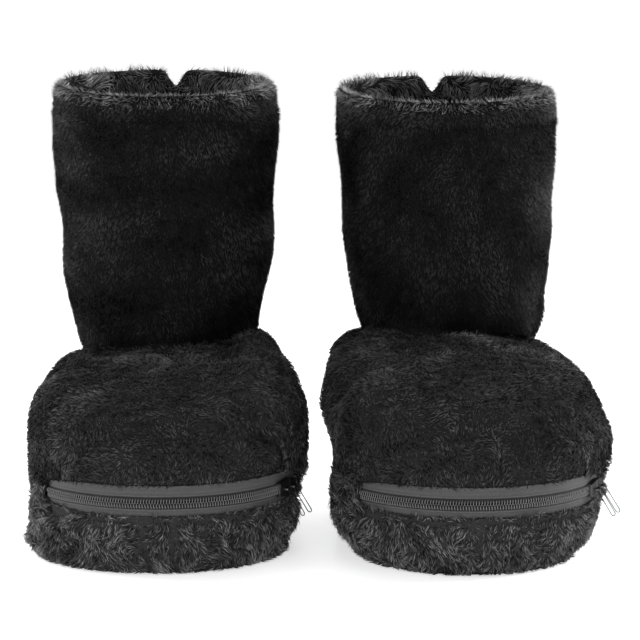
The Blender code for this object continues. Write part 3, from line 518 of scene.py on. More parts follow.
MATERIALS = {
    "shaft_skin": grain_material("shaft_backing", 0.004, 0.009, 700.0, 0.6, 0.95, specular=0.06),
    "foot_skin": grain_material("foot_backing", 0.010, 0.020, 700.0, 0.6, 0.95, specular=0.16),
    "band_skin": grain_material("band_backing", 0.018, 0.034, 700.0, 0.6, 0.95, specular=0.20),
    "lining_skin": grain_material("lining_backing", 0.008, 0.018, 500.0, 0.6, 0.95,
                                  specular=0.10),
    # The piles' root colours are painted shade, much darker than their tips
    "shaft_pile": tuft_material("shaft_pile", 0.001, 0.046, specular=0.02),
    "foot_pile": tuft_material("foot_pile", 0.003, 0.100, specular=0.03),
    "band_pile": tuft_material("band_pile", 0.004, 0.205),
    "rim_pile": tuft_material("rim_pile", 0.012, 0.400),
    "lining_pile": tuft_material("lining_pile", 0.004, 0.420),
    "foam": grain_material("cut_foam", 0.36, 0.50, 900.0, 0.7, 0.9),
    "felt": grain_material("needle_felt", 0.45, 0.60, 600.0, 0.5, 0.95),
    "rubber": grain_material("grip_rubber", 0.022, 0.036, 350.0, 0.5, 0.8),
    "sleeve": grain_material("silicone_sleeve", 0.55, 0.62, 250.0, 0.2, 0.45),
    "plastic": grain_material("moulded_plastic", 0.016, 0.024, 900.0, 0.3, 0.42),
    "metal": grain_material("dark_plating", 0.02, 0.04, 900.0, 0.15, 0.26, metallic=1.0),
    # A lighter copy of the dark plating: painted light, so that the sliders read as lit among the
    # dark pile
    "slider_metal": grain_material("worn_plating", 0.10, 0.17, 900.0, 0.15, 0.36, metallic=1.0),
    "coil": grain_material("nylon_coil", 0.15, 0.20, 1500.0, 0.1, 0.30),
    "tape": weave_material("zip_weave", 0.052, 0.080),
}


def wear(piece, material, body=BODY):
    """Gives a piece its material and its body."""
    piece.data.materials.clear()
    piece.data.materials.append(MATERIALS[material])
    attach(piece, body)
    return piece


print(len(MATERIALS), "materials")

# %% [markdown]
# ## The plush walls
# On the real boot each wall is a pile fabric over wadding, sewn from a few panels. The model's
# walls have the right shape with the pile on, so each wall here is a copy of its solid, rounded by
# a subdivision surface, with its outer face drawn in by the height of the pile. Then it takes what
# handling and sewing did to it: soft waves, seams in the band, folds over the foot, flanks that
# have settled, raised shoulders, lips that close over the zip's ends and a notch turned aside.

# %% Walls
# Outer walls: node, material, how far its face is drawn in, how far its waves move it, how long
# they are and how crisp its edges stay
WALLS = (
    ("sole_wall", "band_skin", 0.0020, 0.0007, 0.034, 0.75),
    ("vamp_plush", "foot_skin", 0.0036, 0.0014, 0.050, 0.75),
    ("shaft_plush", "shaft_skin", 0.0016, 0.0010, 0.060, 0.90),
    ("collar", "shaft_skin", 0.0026, 0.0010, 0.060, 0.30),
)
# The rim's face reaches down over the shaft's by this much, so that no gap shows
RIM_OVERLAP = 0.0040
RIM_FOOT = (0.304, 0.298)
# A point counts as part of the outer face from where it faces along the wall to half outwards
OUTER_FACE = (0.0, 0.5)
WALL_SEEDS = {"left": 11, "right": 18}
# Upright walls face away from the shaft's axis or the band's middle line, which ends here at the
# heel, and the upper faces away from its own, lower middle line
SHAFT_AXIS = 0.135
BAND_LINE_END = 0.14
UPPER_LINE_END = 0.13
UPPER_LINE_TOP = 0.05
# Angle round the toe of each band's sewn seams
BAND_SEAMS = {"left": (-7.5, 4.5), "right": (-1.8,)}
SEAM_DEPTH = 0.0038
SEAM_HALF_WIDTH = 0.0020
# Folds over the foot, as (angle round the toe, height) from the sliders upwards, and their depth
FOOT_FOLDS = {
    "left": (
        (((64.0, 0.062), (62.0, 0.072), (56.0, 0.083), (50.0, 0.090), (42.0, 0.095)), 0.0055),
        (((68.0, 0.080), (62.0, 0.100), (52.0, 0.112)), 0.0035)),
    "right": (
        (((66.0, 0.064), (64.0, 0.075), (61.0, 0.086), (59.0, 0.096), (51.0, 0.105)), 0.0055),
        (((56.0, 0.066), (50.0, 0.078), (42.0, 0.086)), 0.0025)),
}
FOLD_RADIUS = 0.093
FOLD_HALF_WIDTH = 0.0026
# A fold is full over its first quarter, and fades to a quarter at its end
FOLD_FADE = 1.25
# The crease of a fold lies this far beside its ridge, which is this share of its depth high
CREASE_BESIDE = 0.0040
RIDGE_SHARE = 0.3
# How the stuffed walls have settled: at each height in millimetres, how many millimetres further
# out the boot's left flank and its right flank stand, as its outline in the photograph shows
FLANKS = {
    ("left", "band"): ((1, 8.5, 4.0), (9, 9.0, 1.0), (16, 3.5, 2.5), (23, 0.8, 2.0),
                       (30, 0.5, 0.5), (37, -1.0, 1.0), (46, 0.0, 0.0)),
    ("right", "band"): ((1, -4.0, -5.0), (9, -5.5, -9.0), (16, -1.5, -5.5), (23, 0.8, 0.4),
                        (30, 1.4, 3.0), (37, 1.8, 2.5), (46, 0.0, 0.0)),
    ("left", "upper"): ((58, 0.0, 1.0), (66, 0.0, 3.5), (75, -1.2, 7.0), (90, -0.5, 7.2),
                        (105, 1.5, 6.6), (114, 4.0, 8.0), (122, 5.3, 9.5), (130, 10.0, 11.0)),
    ("right", "upper"): ((58, -1.4, 0.5), (65, -1.0, 3.5), (72, -1.5, 8.0), (79, 0.0, 9.0),
                         (86, 2.3, 7.4), (93, 4.4, 3.0), (107, 9.0, -0.5), (114, 9.5, 0.5),
                         (122, 11.0, 0.0), (130, 7.0, 2.0)),
    ("left", "shaft"): ((129, 1.0, 6.5), (144, 0.7, 4.0), (159, 0.7, 3.7), (174, 1.5, 5.2),
                        (189, 1.0, 6.8), (204, -1.0, 6.5), (219, -0.5, 5.0), (234, 1.2, 4.5),
                        (249, 0.6, 4.4), (264, 1.8, 4.4), (287, 0.7, 3.7), (316, 0.0, 2.0)),
    ("right", "shaft"): ((129, -1.5, 8.0), (144, -1.5, 8.5), (159, -2.0, 5.6), (174, -1.5, 5.8),
                         (189, -1.5, 3.8), (204, -1.2, 4.0), (219, -1.8, 3.0), (234, -2.4, 2.4),
                         (249, -3.0, 2.4), (264, -2.6, 1.8), (287, -2.2, 2.0), (316, -1.0, 0.8)),
}
FLANK_OF = {"sole_wall": "band", "vamp_plush": "upper", "shaft_plush": "shaft", "collar": "shaft"}
# Between these heights and below, the band settles as a whole, with its inner face
WHOLE_BELOW = (0.032, 0.024)
# How far the upper's left and right shoulders rise beside the shaft, and between which heights,
# distances from the middle and distances from the toe they do
SHOULDER_RISE = {"left": (0.007, 0.012), "right": (0.001, 0.002)}
SHOULDER_HEIGHTS = (0.106, 0.128)
SHOULDER_ASIDE = (0.042, 0.064)
SHOULDER_DEPTHS = (0.170, 0.130)
# The lips of the zip's window meet beyond the sliders and beyond the far stop: between which angles
# they close, and at which height. Each lip's edge lies this far from the zip's height, and the
# plush gives way with it over this span.
LIPS_CLOSE = ((-57.5, -61.5), (78.0, 82.5))
LIPS_MEET = 0.0505
LIPS_BACK = 0.02
UPPER_LIP, UPPER_SPAN = 0.0115, (0.035, 0.012)
LOWER_LIP, LOWER_SPAN = 0.0085, (0.032, 0.009)
# Where the pulls hang, in degrees round the toe, how far they have pressed in the band there, and
# over which angles and heights it comes back
PULLS_AT = 73.0
PULL_BED = 0.0012
PULL_ANGLES = (17.0, 11.0)
PULL_HEIGHTS = (0.004, 0.012)
# The notch of each boot's rim, in degrees from the middle of its back, and how far its turn spreads
NOTCH_TURN = {"left": 6.5, "right": 0.0}
NOTCH_SPREAD = 0.055
NOTCH_HEIGHTS = (0.270, 0.296)


def away(node, points):
    """The way out of the boot at each point, level for the walls that stand upright."""
    middle = np.zeros_like(points)
    middle[:, 2] = points[:, 2]
    if node in ("shaft_plush", "shaft_lining", "collar"):
        middle[:, 1] = SHAFT_AXIS
    elif node == "sole_wall":
        middle[:, 1] = np.clip(points[:, 1], 0.0, BAND_LINE_END)
    else:
        middle[:, 1] = np.clip(points[:, 1], 0.0, UPPER_LINE_END)
        middle[:, 2] = np.minimum(points[:, 2], UPPER_LINE_TOP)
    return unit(points - middle)


def facing(node, points, normals):
    """How much each point faces out of the boot, from -1 to 1."""
    return (away(node, points) * normals).sum(1)


def groove(points, angle):
    """How deep an upright seam at this angle presses each point in, from 0 to 1."""
    aside = np.radians(toe_angle(points) - angle) * np.hypot(points[:, 0], points[:, 1])
    front = (points[:, 1] < 0.0).astype(float)
    return front * np.exp(-(aside / SEAM_HALF_WIDTH) ** 2)


def fold(points, path, beside=0.0):
    """How near each point lies to a fold's line, or to one beside it, from 0 to 1 and fading."""
    radius = np.hypot(points[:, 0], np.minimum(points[:, 1], 0.0))
    here = np.stack([np.radians(toe_angle(points)) * radius + beside, points[:, 2]], axis=1)
    best = np.full(len(points), 1e9)
    share = np.zeros(len(points))
    stops = [np.array((math.radians(angle) * FOLD_RADIUS, height)) for angle, height in path]
    for index, (start, end) in enumerate(zip(stops, stops[1:])):
        along = end - start
        t = np.clip(((here - start) @ along) / (along @ along), 0.0, 1.0)
        far = np.linalg.norm(here - start - t[:, None] * along, axis=1)
        nearer = far < best
        best[nearer] = far[nearer]
        share[nearer] = (index + t[nearer]) / (len(stops) - 1)
    return np.exp(-(best / FOLD_HALF_WIDTH) ** 2) * np.clip(FOLD_FADE - share, 0.0, 1.0)


def rumple(side, node, points, wave, length):
    """How far each point of an outer face moves out of the boot."""
    move = wave * ripple(points, length, WALL_SEEDS[side])
    if node == "sole_wall":
        for angle in BAND_SEAMS[side]:
            move -= SEAM_DEPTH * groove(points, angle)
    if node == "vamp_plush":
        for path, depth in FOOT_FOLDS[side]:
            move += (RIDGE_SHARE * depth * fold(points, path)
                     - depth * fold(points, path, CREASE_BESIDE))
    return move


def under_pulls(points):
    """How near each point of the band lies to where the pulls hang, from 0 to 1."""
    aside = np.abs(toe_angle(points) - PULLS_AT)
    return smooth_step(aside, *PULL_ANGLES) * smooth_step(points[:, 2], *PULL_HEIGHTS)


def settle(side, node, points):
    """How far each point of an outer face moves sideways, as the stuffed walls have settled."""
    heights, lefts, rights = np.array(FLANKS[side, FLANK_OF[node]]).T / 1000
    across = away(node, points)[:, 0]
    left, right = (np.interp(points[:, 2], heights, flank) for flank in (lefts, rights))
    move = right * np.clip(across, 0.0, 1.0) - left * np.clip(-across, 0.0, 1.0)
    if node == "sole_wall":
        move = move * (1.0 - under_pulls(points)) - PULL_BED * under_pulls(points)
    return move


def raise_shoulders(side, points):
    aside = points[:, 0]
    rise = np.where(aside < 0.0, *SHOULDER_RISE[side])
    points[:, 2] += (rise * smooth_step(points[:, 2], *SHOULDER_HEIGHTS)
                     * smooth_step(np.abs(aside), *SHOULDER_ASIDE)
                     * smooth_step(points[:, 1], *SHOULDER_DEPTHS))


def close_lips(node, points):
    """Draws the plush above and below the zip together beyond its two ends."""
    angles = toe_angle(points)
    close = np.max([smooth_step(angles, *span) for span in LIPS_CLOSE], axis=0)
    close *= points[:, 1] < LIPS_BACK
    if node == "vamp_plush":
        near = smooth_step(points[:, 2], *(ZIP_HEIGHT + reach for reach in UPPER_SPAN))
        points[:, 2] -= close * near * np.clip(ZIP_HEIGHT + UPPER_LIP - LIPS_MEET, 0.0, None)
    else:
        near = smooth_step(points[:, 2], *(ZIP_HEIGHT - reach for reach in LOWER_SPAN))
        points[:, 2] += close * near * np.clip(LIPS_MEET - ZIP_HEIGHT + LOWER_LIP, 0.0, None)


def turn_notch(side, points):
    """Turns the back of the rim round the shaft, which carries its notch aside."""
    behind = (points[:, 1] > SHAFT_AXIS) * smooth_step(points[:, 2], *NOTCH_HEIGHTS)
    turn = -np.radians(NOTCH_TURN[side]) * behind * np.exp(-(points[:, 0] / NOTCH_SPREAD) ** 2)
    x, y = points[:, 0].copy(), points[:, 1] - SHAFT_AXIS
    points[:, 0] = x * np.cos(turn) - y * np.sin(turn)
    points[:, 1] = x * np.sin(turn) + y * np.cos(turn) + SHAFT_AXIS


def softened(side, node, levels, crispness):
    """A rounded copy of a node, with its points and normals in the boot's frame."""
    piece = copy_of(f"{side}_{node}", f"{side}_{node}_skin")
    soften(piece, levels, crispness)
    return piece, into(side, points_of(piece)), turned_into(side, normals_of(piece))


def make_wall(side, node, material, inset, wave, length, crispness):
    wall, points, normals = softened(side, node, 2, crispness)
    outer = smooth_step(facing(node, points, normals), *OUTER_FACE)
    move = rumple(side, node, points, wave, length) - inset
    points = points + away(node, points) * (outer * move)[:, None]
    share = outer
    if node == "sole_wall":
        share = np.maximum(outer, smooth_step(points[:, 2], *WHOLE_BELOW))
    points[:, 0] += share * settle(side, node, points)
    if node == "vamp_plush":
        raise_shoulders(side, points)
    if node in ("vamp_plush", "sole_wall"):
        close_lips(node, points)
    if node == "collar":
        points[:, 2] -= RIM_OVERLAP * outer * smooth_step(points[:, 2], *RIM_FOOT)
    turn_notch(side, points)
    set_points(wall, out_of(side, points))
    wear(wall, material)
    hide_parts(f"{side}_{node}")
    return wall


walls = {(side, row[0]): make_wall(side, *row) for side in SIDES for row in WALLS}
print(len(walls), "plush walls")

# %% [markdown]
# ## The linings and the soft sole
# Inside, the same pile fabric is turned round, and under it lie the footbed, the felt with its
# heating wire, the foam and the flat rubber bottom. The linings are drawn thinner on the face that
# looks inwards. The foam, the felt and the rubber are the sole's cores: the band round them is
# drawn in and has settled, so they are drawn in and settle with it, and none shows through.

# %% Linings and sole
LININGS = (("vamp_lining", 0.0018), ("shaft_lining", 0.0018), ("footbed", 0.0010))
LINING_CRISPNESS = 0.75
FOOTBED_FACE = (0.2, 0.7)
# The cores are pressed in by this much behind the drawn-in band
CORE_INSET = 0.0030
CORE_ROUNDING = 0.0003


def make_lining(side, node, inset):
    lining, points, normals = softened(side, node, 1, LINING_CRISPNESS)
    if node == "footbed":
        inner = smooth_step(normals[:, 2], *FOOTBED_FACE)
    else:
        inner = smooth_step(-facing(node, points, normals), *OUTER_FACE)
    points = points - normals * (inner * inset)[:, None]
    turn_notch(side, points)
    set_points(lining, out_of(side, points))
    wear(lining, "lining_skin")
    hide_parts(f"{side}_{node}")
    return lining


def make_core(side, node, material):
    """A foam, felt or rubber piece of the sole, settled with its band and its edges rounded."""
    core = copy_of(f"{side}_{node}", f"{side}_{node}_core")
    points = into(side, points_of(core))
    normals = turned_into(side, normals_of(core))
    outer = smooth_step(facing("sole_wall", points, normals), *OUTER_FACE)
    points -= away("sole_wall", points) * (outer * CORE_INSET)[:, None]
    points[:, 0] += np.where(points[:, 2] < ZIP_HEIGHT, settle(side, "sole_wall", points), 0.0)
    set_points(core, out_of(side, points))
    rounding = core.modifiers.new("rounding", "BEVEL")
    rounding.width = CORE_ROUNDING
    rounding.segments = 2
    rounding.limit_method = "ANGLE"
    apply_modifier(core, rounding)
    wear(core, material)
    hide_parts(f"{side}_{node}")
    return core


linings = {(side, node): make_lining(side, node, inset)
           for side in SIDES for node, inset in LININGS}
for side in SIDES:
    for node in ("wall_padding", "foam_bed"):
        make_core(side, node, "foam")
    make_core(side, "heating_sheet", "felt")
    make_core(side, "outsole", "rubber")

# %% [markdown]
# ## The pile
# A tuft is a tapered lock of fibres with three sides, bent once on its way to its tip. Tens of
# thousands are laid by area over the walls. Each leans along the way the pile is combed, its lean
# and length vary, and neighbouring tufts draw together at their tips, which gives the small clumps
# that catch the light.

# %% Pile
# For each kind of pile: spacing of the tufts, their length and root radius, how far they lean from
# upright in degrees, how much they droop and curl towards the tip, how many rings of points they
# have, how much a clump pulls them together, the strength and size of the swirls, how much
# lighter and darker patches stand out, and how much single tufts do
PILES = {
    "shaft": dict(spacing=0.00124, length=0.0036, radius=0.00031, lean=48.0, droop=0.5, curl=0.5,
                  rings=1, pull=0.30, swirl=0.4, swirl_size=0.050, mottle=0.30, spread=0.20),
    "foot": dict(spacing=0.00150, length=0.0048, radius=0.00028, lean=56.0, droop=0.5, curl=0.6,
                 rings=2, pull=0.40, swirl=1.1, swirl_size=0.042, mottle=0.13, spread=0.13),
    "band": dict(spacing=0.00150, length=0.0057, radius=0.00031, lean=56.0, droop=0.6, curl=0.8,
                 rings=2, pull=0.45, swirl=1.2, swirl_size=0.024, mottle=0.10, spread=0.16),
    "rim": dict(spacing=0.00118, length=0.0044, radius=0.00030, lean=52.0, droop=0.4, curl=0.8,
                rings=1, pull=0.30, swirl=0.7, swirl_size=0.030, mottle=0.06, spread=0.12),
    "lining": dict(spacing=0.0019, length=0.0078, radius=0.00042, lean=45.0, droop=0.4, curl=1.0,
                   rings=2, pull=0.60, swirl=1.3, swirl_size=0.022, mottle=0.10, spread=0.18),
}
ROOT_DEPTH = 0.0006
FLOOR_CLEAR = 0.0006
CLUMP_SHARE = 0.08
NOTCH_CLEAR = 0.012
NOTCH_RADIUS = 0.076
# Angles round the toe of the zip's two buried ends and of its sliders
ZIP_ENDS = (-62.0, 85.0)
SLIDERS_AT = 68.0
FACES_PER_PIECE = 190000
# How single tufts vary in lean and length, how wide they still are at their bend, and how much
# less their bend is pulled to its clump than their tip
LEAN_SPREAD = 9.0
LENGTH_RANGE = (0.65, 1.2)
BEND_WIDTH = 0.85
BEND_PULL = 0.4
# Tones run from 0 to 1: their middle, the size of the large patches, the strength and size of the
# small ones, their limits, and the power that keeps most tufts dark
TONE_MIDDLE = 0.40
PATCH_SIZE = 0.050
SMALL_PATCHES = (0.14, 0.014)
TONE_LIMITS = (0.02, 0.97)
TONE_POWER = 1.5
# A tuft's corners lie this far apart in its UV map, so that its faces have an area there
UV_STEP = 0.01


def scatter(piece, side, spacing, share_of, draw):
    """Points by area over a piece, with their normals, where share_of gives a chance to grow."""
    points = into(side, points_of(piece))
    normals = turned_into(side, normals_of(piece))
    piece.data.calc_loop_triangles()
    corners = np.empty(len(piece.data.loop_triangles) * 3, np.int32)
    piece.data.loop_triangles.foreach_get("vertices", corners)
    corners = corners.reshape(-1, 3)
    a, b, c = (points[corners[:, turn]] for turn in range(3))
    areas = np.linalg.norm(np.cross(b - a, c - a), axis=1) / 2
    chance = np.clip(share_of(points, normals), 0.0, 1.0)[corners].mean(1)
    weight = np.cumsum(areas * chance)
    count = int(weight[-1] / spacing**2)
    picks = (np.arange(count) + draw.uniform(0.0, 1.0, count)) * weight[-1] / count
    chosen = np.minimum(np.searchsorted(weight, picks), len(corners) - 1)
    first, second = np.sqrt(draw.uniform(0, 1, count)), draw.uniform(0, 1, count)
    shares = np.stack([1 - first, first * (1 - second), first * second], axis=1)
    roots = (points[corners[chosen]] * shares[..., None]).sum(1)
    ups = unit((normals[corners[chosen]] * shares[..., None]).sum(1))
    return roots, ups


def clump_of(points, seed):
    """For each point, the middle of the clump that it belongs to."""
    draw = np.random.default_rng(seed)
    count = max(8, int(len(points) * CLUMP_SHARE))
    middles = points[draw.choice(len(points), count, replace=False)]
    tree = kdtree.KDTree(len(middles))
    for index, middle in enumerate(middles):
        tree.insert(middle, index)
    tree.balance()
    return middles[[tree.find(point)[1] for point in points]]


# Corners of one tuft's faces, their counts and how far along the tuft each point lies
TUFT_FACES = {
    1: ((2, 1, 0, 0, 1, 3, 1, 2, 3, 2, 0, 3), (3, 3, 3, 3), (0.0, 0.0, 0.0, 1.0)),
    2: ((2, 1, 0, 0, 1, 4, 3, 1, 2, 5, 4, 2, 0, 3, 5, 3, 4, 6, 4, 5, 6, 5, 3, 6),
        (3, 4, 4, 4, 3, 3, 3), (0.0, 0.0, 0.0, 0.5, 0.5, 0.5, 1.0)),
}
TUFT_TRIANGLES = {1: 4, 2: 10}


def tuft_mesh(name, rings, tips, tones_with_painted_light):
    """One mesh of closed tufts, each of one or two rings of three points and a tip."""
    count = len(tips)
    faces, sizes, along = (np.array(part) for part in TUFT_FACES[len(rings)])
    each = len(along)
    points = np.concatenate(rings + [tips[:, None]], axis=1).reshape(-1, 3)
    loops = (np.arange(count)[:, None] * each + faces).ravel().astype(np.int32)
    lengths = np.tile(sizes, count)
    starts = np.concatenate([[0], np.cumsum(lengths)[:-1]]).astype(np.int32)
    mesh = bpy.data.meshes.new(name)
    mesh.vertices.add(len(points))
    mesh.vertices.foreach_set("co", points.astype(np.float32).ravel())
    mesh.loops.add(len(loops))
    mesh.loops.foreach_set("vertex_index", loops)
    mesh.polygons.add(len(starts))
    mesh.polygons.foreach_set("loop_start", starts)
    mesh.polygons.foreach_set("use_smooth", np.ones(len(starts), bool))
    mesh.update(calc_edges=True)
    across = np.array([0, 1, 2] * (each // 3) + [1]) * UV_STEP
    layout = mesh.uv_layers.new(name=UV_NAME)
    grid = np.stack([tones_with_painted_light[:, None] + across[faces], np.tile(along[faces], (count, 1))], axis=-1)
    layout.data.foreach_set("uv", grid.astype(np.float32).ravel())
    return mesh


def grow(side, name, piece, kind, material, share_of, combing, seed, length_of, painted_light_of):
    """Grows one kind of pile on a piece. combing gives the way it lies at each root."""
    pile = PILES[kind]
    draw = np.random.default_rng(seed)
    roots, ups = scatter(piece, side, pile["spacing"], share_of, draw)
    count = len(roots)
    way = unit(combing(roots, ups)) + pile["swirl"] * ripples(roots, pile["swirl_size"], seed)
    way = unit(way - ups * (way * ups).sum(1, keepdims=True))
    lean = np.radians(pile["lean"] + draw.normal(0.0, LEAN_SPREAD, count))[:, None]
    rise = ups * np.cos(lean) + way * np.sin(lean)
    length = pile["length"] * draw.uniform(*LENGTH_RANGE, count)[:, None]
    if length_of is not None:
        length = length * length_of(side, roots)[:, None]
    curl = draw.normal(0.0, 1.0, (count, 3)) * pile["curl"] * 0.5
    onward = unit(rise + way * pile["droop"] + curl)
    onward = unit(onward - ups * np.minimum((onward * ups).sum(1, keepdims=True), 0.0))
    bends = roots + rise * length * 0.5
    tips = bends + onward * length * 0.5
    toward = clump_of(roots, seed) - roots
    toward = toward - ups * (toward * ups).sum(1, keepdims=True)
    bends = bends + toward * pile["pull"] * BEND_PULL
    tips = tips + toward * pile["pull"]
    for part in (bends, tips):
        part[:, 2] = np.maximum(part[:, 2], FLOOR_CLEAR)
    starts = roots - ups * ROOT_DEPTH
    sides_a = unit(np.cross(bends - starts, draw.normal(size=(count, 3))))
    sides_b = unit(np.cross(bends - starts, sides_a))
    rings = []
    for centre, width in ((starts, 1.0), (bends, BEND_WIDTH))[:pile["rings"]]:
        corners = []
        for turn in range(3):
            angle = 2 * math.pi * turn / 3
            arm = sides_a * math.cos(angle) + sides_b * math.sin(angle)
            corners.append(centre + arm * pile["radius"] * width)
        rings.append(np.stack(corners, axis=1))
    tones_with_painted_light = (TONE_MIDDLE + pile["mottle"] * ripple(roots, PATCH_SIZE, seed + 4)
             + SMALL_PATCHES[0] * ripple(roots, SMALL_PATCHES[1], seed + 5)
             + draw.normal(0.0, pile["spread"], count))
    # Painted light and shade in the tones: highlights on fold ridges and near the rim's top, shade
    # in creases and seams
    if painted_light_of is not None:
        tones_with_painted_light = tones_with_painted_light + painted_light_of(side, roots)
    tones_with_painted_light = np.clip(tones_with_painted_light, *TONE_LIMITS) ** TONE_POWER
    order = np.argsort(toe_angle(roots - np.array([0.0, SHAFT_AXIS / 2, 0.0])))
    batches = max(1, math.ceil(count * TUFT_TRIANGLES[pile["rings"]] / FACES_PER_PIECE))
    for index, batch in enumerate(np.array_split(order, batches)):
        label = f"{side}_{name}_{index + 1}"
        world_rings = [out_of(side, ring[batch].reshape(-1, 3)).reshape(-1, 3, 3) for ring in rings]
        mesh = tuft_mesh(label, world_rings, out_of(side, tips[batch]), tones_with_painted_light[batch])
        wear(add_object(label, mesh), material)
    print(f"{side} {name}: {count} tufts in {batches} pieces")


# %% [markdown]
# ## Where each pile grows, and how it lies
# Each pile has a chance to grow at each place, a way that it is combed, and where handling, sewing
# or the zip asks for it, a change of length. On folds, seams and the rim its tone carries painted
# light: painted highlights and painted shade. A pair of values says where a change starts and where
# it is complete.

# %% Places
GROWS_FACING = (0.1, 0.4)
# The foot's pile lies this much outwards for each metre from its middle, and so much forward and
# down; the rim's lies this much down
FOOT_LIE = (6.0, -1.0, -0.7)
RIM_LIE = -0.8
# The rim's top is looked for at each stop round the shaft, among the points this near to it
RIM_STOP = 15.0
RIM_NEAR = 12.0
# Distances below the rim's top: where its face's pile starts, and where its tone carries painted
# light
RIM_FACE = (0.003, 0.008)
RIM_LIGHT = (0.017, 0.002)
RIM_PAINTED_LIGHT = 0.45
# How far above and below the zip, and how far along it, the pile at its ends differs
END_HEIGHTS = (0.020, 0.012)
END_REACH = 12.0
TURN_REACH = 18.0
# Over the sliders the pile is longer between these angles from them, and these heights
OVER_SLIDERS = (14.0, 8.0)
OVER_HEIGHTS = (0.078, 0.066)
# How the length changes: at the zip's ends, over its sliders, in folds and seams, under the
# pulls, at the notch and at the back of the rim
LONG_AT_ENDS, LONG_AT_SLIDERS = 0.9, 0.5
SHORT_IN_FOLDS, SHORT_IN_SEAMS, SHORT_AT_PULLS = 0.70, 0.75, 0.3
SHORT_AT_NOTCH, LONG_AT_BACK = 0.6, 0.7
# How the tone changes on a fold's ridge, in its crease and in a seam: a painted highlight on the
# ridge, painted shade in the crease and in the seam
RIDGE_HIGHLIGHT, CREASE_SHADE, SEAM_SHADE = 0.60, -0.50, -0.40


def outwards(node):
    return lambda points, normals: smooth_step(facing(node, points, normals), *GROWS_FACING)


def downwards(points, ups):
    return np.tile((0.0, 0.0, -1.0), (len(points), 1))


def upwards(points, ups):
    return -downwards(points, ups)


def over_the_foot(points, ups):
    """From the ankle forward over the toe, and down at the sides."""
    way = np.tile(FOOT_LIE, (len(points), 1))
    way[:, 0] *= points[:, 0]
    return way


def over_the_rim(points, ups):
    way = points - np.array([0.0, SHAFT_AXIS, 0.0])
    way[:, 2] = 0.0
    return unit(way) + np.array([0.0, 0.0, RIM_LIE])


def below_rim_top(points):
    """How far below the rim's top each point of the collar lies."""
    turns = np.degrees(np.arctan2(points[:, 0], points[:, 1] - SHAFT_AXIS))
    stops = np.arange(-180.0, 181.0, RIM_STOP)
    tops = [points[np.abs((turns - stop + 180.0) % 360.0 - 180.0) < RIM_NEAR, 2].max()
            for stop in stops]
    return np.interp(turns, stops, tops) - points[:, 2]


def on_rim_face(points, normals):
    """The rim's upright outer face, whose pile is the shaft's own and hides the seam below it."""
    return (smooth_step(facing("collar", points, normals), 0.2, 0.5)
            * smooth_step(below_rim_top(points), *RIM_FACE))


def on_rim_top(points, normals):
    """The rim's top and its inner face, but not its underside."""
    share = np.maximum(smooth_step(below_rim_top(points), *RIM_FACE[::-1]),
                       smooth_step(facing("collar", points, normals), -0.1, -0.4))
    return share * smooth_step(normals[:, 2], -0.4, -0.1)


def painted_light_at_rim(side, points):
    """Painted light: the tuft's tone is lighter towards the rim's top, standing in for light that
    shines through the pile.
    """
    return RIM_PAINTED_LIGHT * smooth_step(below_rim_top(points), *RIM_LIGHT)


def near_zip_ends(points, reach):
    """How near each point lies to an end of the zip, from 0 to 1."""
    level = smooth_step(np.abs(points[:, 2] - ZIP_HEIGHT), *END_HEIGHTS)
    angles = toe_angle(points)
    return level * np.max([smooth_step(np.abs(angles - end), reach, reach / 2)
                           for end in ZIP_ENDS], axis=0)


def into_zip_end(points, way):
    """Turns the pile's lie towards the zip beyond its ends, where it closes over them."""
    angles = toe_angle(points)
    turn = np.radians(angles)
    along = np.stack([np.cos(turn), np.sin(turn), np.zeros(len(points))], axis=1)
    along *= np.where(angles < 0.0, 1.0, -1.0)[:, None]
    beyond = np.maximum(smooth_step(angles, ZIP_ENDS[0] + 3.0, ZIP_ENDS[0] - 3.0),
                        smooth_step(angles, ZIP_ENDS[1] - 2.0, ZIP_ENDS[1] + 3.0))
    beyond = (beyond * near_zip_ends(points, TURN_REACH))[:, None]
    return way * (1.0 - beyond) + along * beyond


def over_the_upper(points, ups):
    return into_zip_end(points, over_the_foot(points, ups))


def down_from_the_zip(points, ups):
    """Downwards, but upwards along the zip and round its ends, where the pile closes over it."""
    way = downwards(points, ups)
    near = near_zip_ends(points, END_REACH) * smooth_step(points[:, 2], 0.028, 0.036)
    edge = smooth_step(points[:, 2], 0.034, 0.040)
    way[:, 2] += np.maximum(1.9 * near, 1.4 * edge)
    return into_zip_end(points, way)


def long_at_zip_end(points):
    """Longer pile round the zip's ends, which buries them, and just over its sliders."""
    over = (smooth_step(np.abs(toe_angle(points) - SLIDERS_AT), *OVER_SLIDERS)
            * smooth_step(points[:, 2], *OVER_HEIGHTS) * (points[:, 2] > ZIP_HEIGHT))
    return 1.0 + LONG_AT_ENDS * near_zip_ends(points, END_REACH) + LONG_AT_SLIDERS * over


def near_the_mouth(points, normals):
    """The lining's pile stands thick at the mouth, and thinner where it can hardly be seen."""
    inside = smooth_step(-facing("shaft_lining", points, normals), *GROWS_FACING)
    return inside * (0.3 + 0.7 * smooth_step(points[:, 2], 0.22, 0.25))


def in_folds(side, points, beside=CREASE_BESIDE):
    return np.max([fold(points, path, beside) for path, _ in FOOT_FOLDS[side]], axis=0)


def in_seams(side, points):
    return np.max([groove(points, angle) for angle in BAND_SEAMS[side]], axis=0)


def painted_light_at_folds(side, points):
    """Painted light along a fold: a painted highlight on its ridge and painted shade in its crease.
    """
    return RIDGE_HIGHLIGHT * in_folds(side, points, 0.0) + CREASE_SHADE * in_folds(side, points)


# Painted shade: the pile's tone is darker along a seam's groove
def painted_shade_at_seams(side, points):
    return SEAM_SHADE * in_seams(side, points)


def foot_length(side, points):
    return long_at_zip_end(points) - SHORT_IN_FOLDS * in_folds(side, points)


